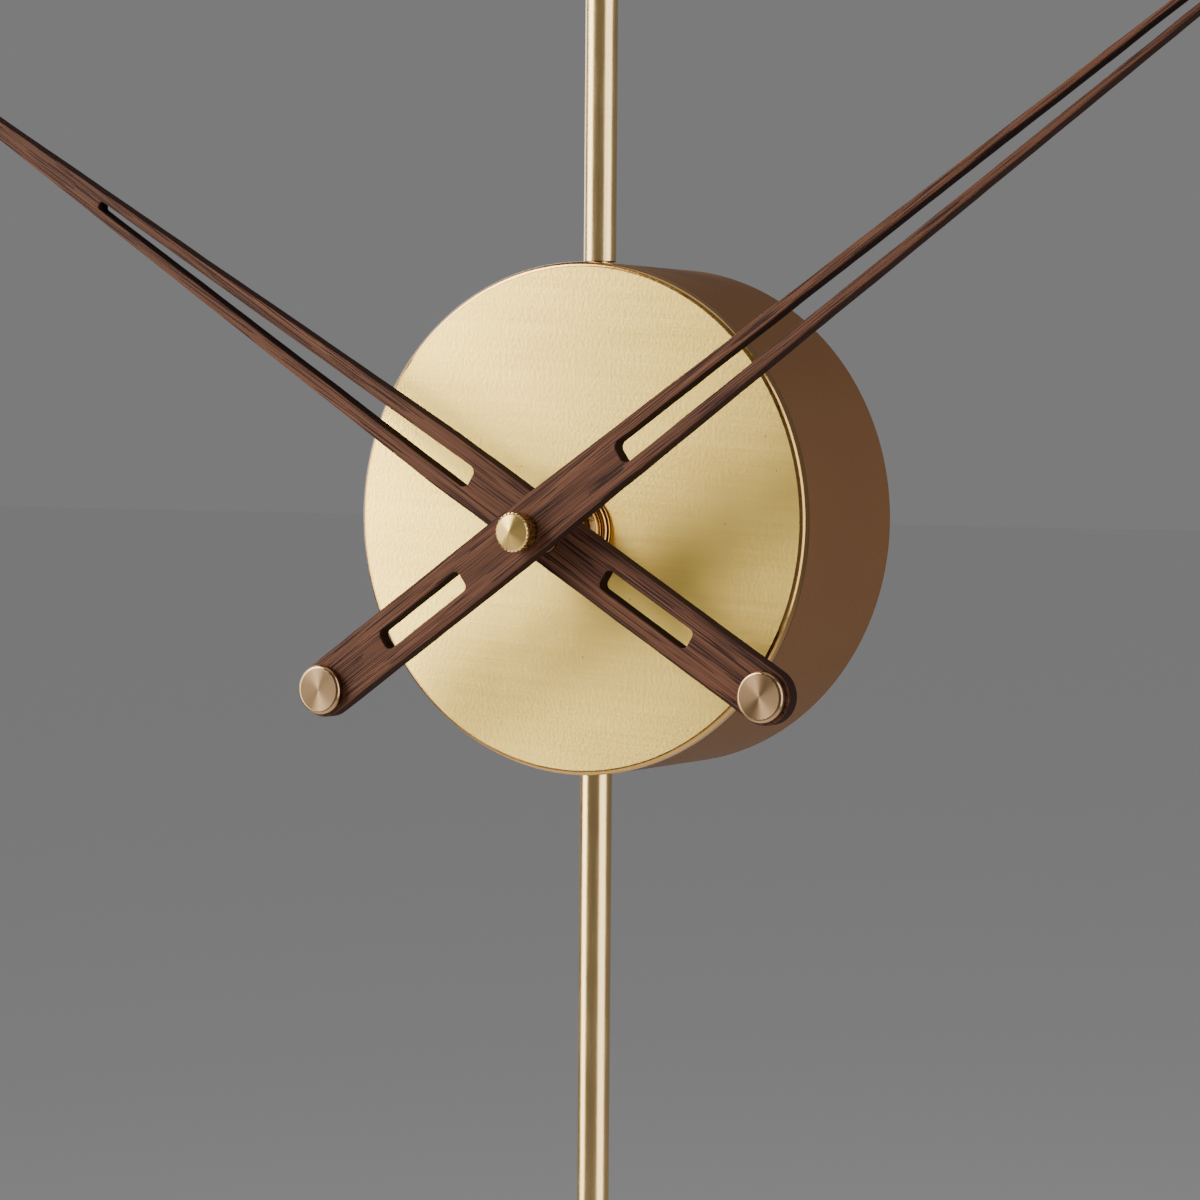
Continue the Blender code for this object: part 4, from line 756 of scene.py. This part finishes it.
def make_hand(name, seed):
    """One blade with both its slots, its hub bush and its tail cap."""
    hand = HANDS[name]
    body = f"{name}_hand"
    turned = math.radians(hand["angle"])
    front, back = LOW[f"{name}_hand_blade"].y, HIGH[f"{name}_hand_blade"].y
    tip_at = hand["reach"] - TIP_HALF_WIDTH
    outline = arc(0, tip_at, TIP_HALF_WIDTH, 0, 180, 10)
    outline.append((-HALF_WIDTH, hand["taper"]))
    outline += arc(0, -hand["tail"], HALF_WIDTH, 180, 360, 40)
    outline.append((HALF_WIDTH, hand["taper"]))
    near, far = hand["slot"]
    main = [
        (-SLOT_HALF_WIDTH, near, SLOT_ROUNDING),
        (SLOT_HALF_WIDTH, near, SLOT_ROUNDING),
        (hand["far"], far, hand["far"] * 0.9),
        (-hand["far"], far, hand["far"] * 0.9),
    ]
    low, high = TAIL_SLOT
    tail_slot = [
        (-TAIL_SLOT_HALF_WIDTH, low, TAIL_SLOT_ROUNDING),
        (TAIL_SLOT_HALF_WIDTH, low, TAIL_SLOT_ROUNDING),
        (TAIL_SLOT_HALF_WIDTH, high, TAIL_SLOT_ROUNDING),
        (-TAIL_SLOT_HALF_WIDTH, high, TAIL_SLOT_ROUNDING),
    ]
    hub = hand["bore"] + BUSH_WALL
    holes = [
        hand_sawn(rounded(main, 6), seed + 1),
        hand_sawn(rounded(tail_slot, 6), seed + 2),
        circle(hub + 0.15 * MM, 64),
        circle(CAP_PIN_RADIUS + 0.15 * MM, 32, 0, -hand["tail"]),
    ]
    mesh = slab(hand_sawn(outline, seed), holes, front, back, EDGE_ROUNDING, wall_index=1)
    finishes = [WALNUT, WALNUT_EDGE]
    piece(f"{name}_blade", mesh, finishes, body, [f"{name}_hand_blade"], (0, 0, SHAFT_Z), turned)
    make_hand_bush(name, body, hand["bore"], hub, front)
    make_tail_cap(name, body, hand["tail"], turned)


def make_hand_bush(name, body, bore, hub, front):
    node = f"{name}_hand_bush"
    back = HIGH[node].y
    shoulder = back - BUSH_FLANGE
    corners = [
        (bore, front, 0.1 * MM),
        (hub, front, 0.1 * MM),
        (hub, shoulder, 0),
        (hub + BUSH_FLANGE, shoulder, 0.15 * MM),
        (hub + BUSH_FLANGE, back, 0.25 * MM),
        (bore, back, 0.15 * MM),
    ]
    # The darker brass paints the shadow that falls on the bush between the two hands
    piece(f"{name}_bush", lathe(corners), [PAINTED_SHADE_BRASS], body, [node], (0, 0, SHAFT_Z))


def make_tail_cap(name, body, tail, turned):
    """A turned button with a rounded edge, and the pin that holds it in the blade."""
    node = f"{name}_tail_cap"
    front = LOW[node].y
    seat = HIGH[node].y - CAP_PIN_LENGTH - front
    corners = [
        (0, 0, 0),
        (CAP_RADIUS, 0, 0.8 * MM),
        (CAP_RADIUS, seat, 0.2 * MM),
        (CAP_PIN_RADIUS, seat, 0),
        (CAP_PIN_RADIUS, seat + CAP_PIN_LENGTH, 0),
        (0, seat + CAP_PIN_LENGTH, 0),
    ]
    place = (-tail * math.sin(turned), front, SHAFT_Z - tail * math.cos(turned))
    mesh = lathe(corners, steps=8)
    for face in mesh.faces:
        middle = face.calc_center_median()
        face.material_index = int(math.hypot(middle.x, middle.z) > CAP_EDGE_FROM)
    piece(f"{name}_cap", mesh, [CAP_FACE, CAP_EDGE], body, [node], place)


def make_hand_nut():
    """A turned cone with a small pip, over a straight-knurled rim."""
    front, back = LOW["hand_nut"].y, HIGH["hand_nut"].y
    rim = back - 3.8 * MM
    radius = HIGH["hand_nut"].x
    bore = 2.35 * MM
    socket_end = rim + 0.6 * MM
    corners = [
        (0, front, 0),
        (0.35 * MM, front + 0.05 * MM, 0.1 * MM),
        (0.45 * MM, front + 0.25 * MM, 0),
        (radius - 0.5 * MM, rim - 0.05 * MM, 0.1 * MM),
        (radius - 0.4 * MM, rim + 0.1 * MM, 0),
        (radius, rim + 0.3 * MM, 0),
        (radius, back - 0.25 * MM, 0),
        (radius - 0.4 * MM, back, 0),
        (bore, back, 0),
        (bore, socket_end, 0),
        (0, socket_end, 0),
    ]
    corners = [(r, along - front, rounding) for r, along, rounding in corners]
    mesh = lathe(corners, ridges=26, ridge_depth=0.3 * MM, knurl=radius)
    for face in mesh.faces:
        face.material_index = int(face.calc_center_median().y > rim - front)
    finishes = [NUT_FACE, KNURL]
    piece("cone_nut", mesh, finishes, "minute_hand", ["hand_nut"], (0, front, SHAFT_Z))


# Stem and pendulum


def spigoted_rod(low, foot, top, high, radius, spigot, edge):
    """The corners of a round rod from foot to top, with a thinner spigot at each end."""
    return [
        (0, low, 0),
        (spigot, low, edge),
        (spigot, foot, 0),
        (radius, foot, edge),
        (radius, top, edge),
        (spigot, top, 0),
        (spigot, high, 0.2 * MM),
        (0, high, 0),
    ]


def make_stem():
    low, high = LOW["upper_stem"].z, HIGH["upper_stem"].z
    foot = DRUM_RADIUS + 0.3 * MM
    corners = spigoted_rod(low, foot, high - 4 * MM, high, HIGH["upper_stem"].x, STEM_SPIGOT, 0.2 * MM)
    mesh = lathe(corners, axis="Z")
    piece("stem", mesh, [POLISHED], "case", ["upper_stem"], (0, ROD_Y, 0))


def make_finial():
    """A ball on a short grooved neck, hollow below to take the end of the stem."""
    low, high = LOW["stem_finial"].z, HIGH["stem_finial"].z
    ball = HIGH["stem_finial"].x
    neck = 4.6 * MM
    socket = STEM_SPIGOT + 0.15 * MM
    meeting = math.degrees(math.asin(neck / ball))
    corners = [
        (0, low + 4.3 * MM, 0),
        (socket, low + 4.3 * MM, 0),
        (socket, low, 0),
        (neck, low, 0.2 * MM),
        (neck, low + 1.2 * MM, 0.1 * MM),
        (neck - 0.5 * MM, low + 1.5 * MM, 0.1 * MM),
        (neck - 0.5 * MM, low + 2.6 * MM, 0.1 * MM),
    ]
    corners += [(r, z, 0) for r, z in arc(0, high - ball, ball, meeting - 90, 90, 40)[:-1]]
    corners.append((0, high, 0))
    mesh = lathe(corners, axis="Z")
    piece("finial", mesh, [POLISHED], "case", ["stem_finial"], (0, ROD_Y, 0))


def make_pendulum_rod():
    low, high = LOW["pendulum_rod"].z, HIGH["pendulum_rod"].z
    foot = HIGH["pendulum_bob"].z + 0.3 * MM
    top = LOW["pendulum_hanger"].z - 0.3 * MM
    corners = spigoted_rod(low, foot, top, high, HIGH["pendulum_rod"].x, ROD_SPIGOT, 0.3 * MM)
    mesh = lathe(corners, axis="Z")
    piece("rod", mesh, [POLISHED], "pendulum", ["pendulum_rod"], (0, ROD_Y, 0))


def make_bob():
    """A bevelled disc with a hole from top to bottom for the rod's spigot."""
    low, high = LOW["pendulum_bob"], HIGH["pendulum_bob"]
    half = (high.y - low.y) / 2
    radius = high.x
    corners = [
        (0, -half, 0),
        (radius - BOB_BEVEL, -half, 0.3 * MM),
        (radius, BOB_BEVEL - half, 0.4 * MM),
        (radius, half - BOB_BEVEL, 0.4 * MM),
        (radius - BOB_BEVEL, half, 0.3 * MM),
        (0, half, 0),
    ]
    place = (0, ROD_Y, (low.z + high.z) / 2)
    bob = piece("bob", lathe(corners, 192), [BRUSHED], "pendulum", ["pendulum_bob"], place)
    reach = radius + MM
    bore = lathe([(0, -reach, 0), (BOB_BORE, -reach, 0), (BOB_BORE, reach, 0), (0, reach, 0)], 48, "Z")
    carve(bob, bore, place)


def make_rating_nut():
    low, high = LOW["rating_nut"].z, HIGH["rating_nut"].z
    radius = HIGH["rating_nut"].x
    bevel = 0.6 * MM
    corners = [
        (RATING_NUT_BORE, low, 0),
        (radius - bevel, low, 0.1 * MM),
        (radius, low + bevel, 0.1 * MM),
        (radius, high - bevel, 0.1 * MM),
        (radius - bevel, high, 0.1 * MM),
        (RATING_NUT_BORE, high, 0),
    ]
    mesh = lathe(corners, axis="Z", ridges=40, ridge_depth=0.3 * MM, knurl=radius)
    piece("knurled_rating_nut", mesh, [POLISHED], "pendulum", ["rating_nut"], (0, ROD_Y, 0))


# Back of the movement


def make_movement():
    """The moulded and bent pieces keep the CAD shape, with their edges rounded off."""
    for node, body, width in (
        ("movement_front", "case", 0.5 * MM),
        ("movement_rear", "case", 0.4 * MM),
        ("pendulum_hanger", "pendulum", 0.15 * MM),
        ("battery_contact_positive", "case", 0.08 * MM),
    ):
        slot = "housing_plastic" if node.startswith("movement") else "steel"
        softened(node, SLOT_FINISH[slot], body, width)


def make_battery():
    """A bare cell, its positive end towards +X."""
    low, high = LOW["battery"], HIGH["battery"]
    radius = (high.z - low.z) / 2
    shoulder = low.x + 0.3 * MM
    tip = high.x - 1.2 * MM
    ring = 3.4 * MM
    button = 2.6 * MM
    corners = [
        (0, low.x, 0),
        (radius - 1.2 * MM, low.x, 0.3 * MM),
        (radius - 1.0 * MM, shoulder, 0.1 * MM),
        (radius, shoulder, 0.4 * MM),
        (radius, tip, 0.5 * MM),
        (ring, tip, 0.1 * MM),
        (ring, tip - 0.3 * MM, 0.1 * MM),
        (button, tip - 0.3 * MM, 0),
        (button, high.x, 0.4 * MM),
        (0, high.x, 0),
    ]
    place = (0, (low.y + high.y) / 2, (low.z + high.z) / 2)
    piece("cell", lathe(corners, axis="X"), [JACKET], "case", ["battery"], place)


def make_knob():
    """The time-setting knob: a knurled grip on a stalk with a socket for the motion wheel's arbor."""
    low, high = LOW["time_set_knob"].y, HIGH["time_set_knob"].y
    grip = high - 9 * MM
    radius = (HIGH["time_set_knob"].x - LOW["time_set_knob"].x) / 2
    socket_end = low + 2 * MM
    socket = 1.35 * MM
    stalk = 2.5 * MM
    corners = [
        (0, socket_end, 0),
        (socket, socket_end, 0),
        (socket, low, 0),
        (stalk, low, 0.2 * MM),
        (stalk, grip, 0),
        (radius - 0.5 * MM, grip, 0.2 * MM),
        (radius, grip + 0.5 * MM, 0.2 * MM),
        (radius, high - 0.6 * MM, 0.2 * MM),
        (radius - 0.6 * MM, high, 0.2 * MM),
        (0, high, 0),
    ]
    x, z = knob_centre()
    mesh = lathe(corners, ridges=30, ridge_depth=0.5 * MM, knurl=radius)
    piece("set_knob", mesh, [HOUSING], "motion_works", ["time_set_knob"], (x, 0, z))


def make_pivot_pin():
    node = "pendulum_pivot_pin"
    low, high = LOW[node], HIGH[node]
    radius = (high.x - low.x) / 2
    shank = 1.5 * MM
    head = high.y - MM
    corners = [
        (0, low.y, 0),
        (shank, low.y, 0.2 * MM),
        (shank, head, 0),
        (radius, head, 0.2 * MM),
        (radius, high.y, 0.35 * MM),
        (0, high.y, 0),
    ]
    piece("pivot_pin", lathe(corners, 64), [STEEL], "case", [node], (0, 0, (low.z + high.z) / 2))


def finish_cad_nodes():
    """The CAD nodes that stay in view inside the drum get the material of their slot."""
    for entry in frame["record"]["subparts"]:
        data = frame["nodes"][entry["node"]].data
        finish = SLOT_FINISH[entry["material_slot"]]
        data.materials.clear()
        data.materials.append(finish)


# Floor, light and camera


def make_floor():
    data = bpy.data.meshes.new("floor")
    corners = [(x * FLOOR_HALF_SIZE, y * FLOOR_HALF_SIZE, 0) for x, y in RECTANGLE]
    data.from_pydata(corners, [], [(0, 1, 2, 3)])
    n = Nodes("floor_paint")
    n.surface(Base_Color=rgb(0.95, 0.95, 0.95), Roughness=0.9)
    data.materials.append(n.material)
    floor = bpy.data.objects.new("floor", data)
    floor.location.z = FLOOR_Z
    bpy.context.scene.collection.objects.link(floor)


def area_light(name, place, target, width, height, power, colour=(1, 1, 1)):
    """A soft rectangular light at this place, turned to face the target."""
    data = bpy.data.lights.new(name, "AREA")
    data.shape = "RECTANGLE"
    data.size = width
    data.size_y = height
    data.energy = power
    data.color = colour
    light = bpy.data.objects.new(name, data)
    light.location = place
    direction = Vector(target) - Vector(place)
    light.rotation_euler = direction.to_track_quat("-Z", "Y").to_euler()
    bpy.context.scene.collection.objects.link(light)


def make_lights():
    world = bpy.data.worlds.new("studio")
    world.use_nodes = True
    background = world.node_tree.nodes["Background"]
    background.inputs["Color"].default_value = rgb(1.0, 0.99, 1.0)
    background.inputs["Strength"].default_value = 0.2
    bpy.context.scene.world = world
    centre = (0, -0.03, 0)
    warm = (1.0, 0.98, 0.91)
    area_light("key", (-1.51, -1.08, 0.50), centre, 1.35, 2.5, 80, warm)
    area_light("upper", (-1.29, -1.09, 0.89), centre, 0.9, 0.9, 34, warm)
    area_light("fill", (1.6, -0.22, 0.25), centre, 1.5, 2.6, 52, (1.0, 0.99, 0.97))
    area_light("top", (0.1, -0.2, 1.9), centre, 1.6, 1.2, 6)
    area_light("back", (-1.7, 1.2, 0.5), centre, 1.6, 1.4, 18)


def make_camera():
    """The camera looks along the yaw and pitch, then rolls about the line of sight."""
    yaw = math.radians(CAMERA_YAW)
    pitch = math.radians(CAMERA_PITCH)
    roll = math.radians(CAMERA_ROLL)
    forward = Vector((-math.sin(yaw) * math.cos(pitch), math.cos(yaw) * math.cos(pitch), math.sin(pitch)))
    level = Vector((math.cos(yaw), math.sin(yaw), 0))
    upright = level.cross(forward)
    right = math.cos(roll) * level + math.sin(roll) * upright
    up = math.cos(roll) * upright - math.sin(roll) * level
    data = bpy.data.cameras.new("camera")
    data.lens = FOCAL_LENGTH
    data.sensor_width = SENSOR_WIDTH
    camera = bpy.data.objects.new("camera", data)
    turn = Matrix((right, up, -forward)).transposed().to_4x4()
    camera.matrix_world = Matrix.Translation(CAMERA_PLACE) @ turn
    bpy.context.scene.collection.objects.link(camera)
    bpy.context.scene.camera = camera


finish_cad_nodes()
make_dial_plate()
make_drum()
make_back_cover()
make_cover_screws()
make_dial_washer()
make_dial_nut()
make_threaded_bushing()
make_hand("hour", 11)
make_hand("minute", 29)
make_hand_nut()
make_stem()
make_finial()
make_pendulum_rod()
make_bob()
make_rating_nut()
make_movement()
make_battery()
make_knob()
make_pivot_pin()
make_floor()
make_lights()
make_camera()

bpy.context.view_layer.update()
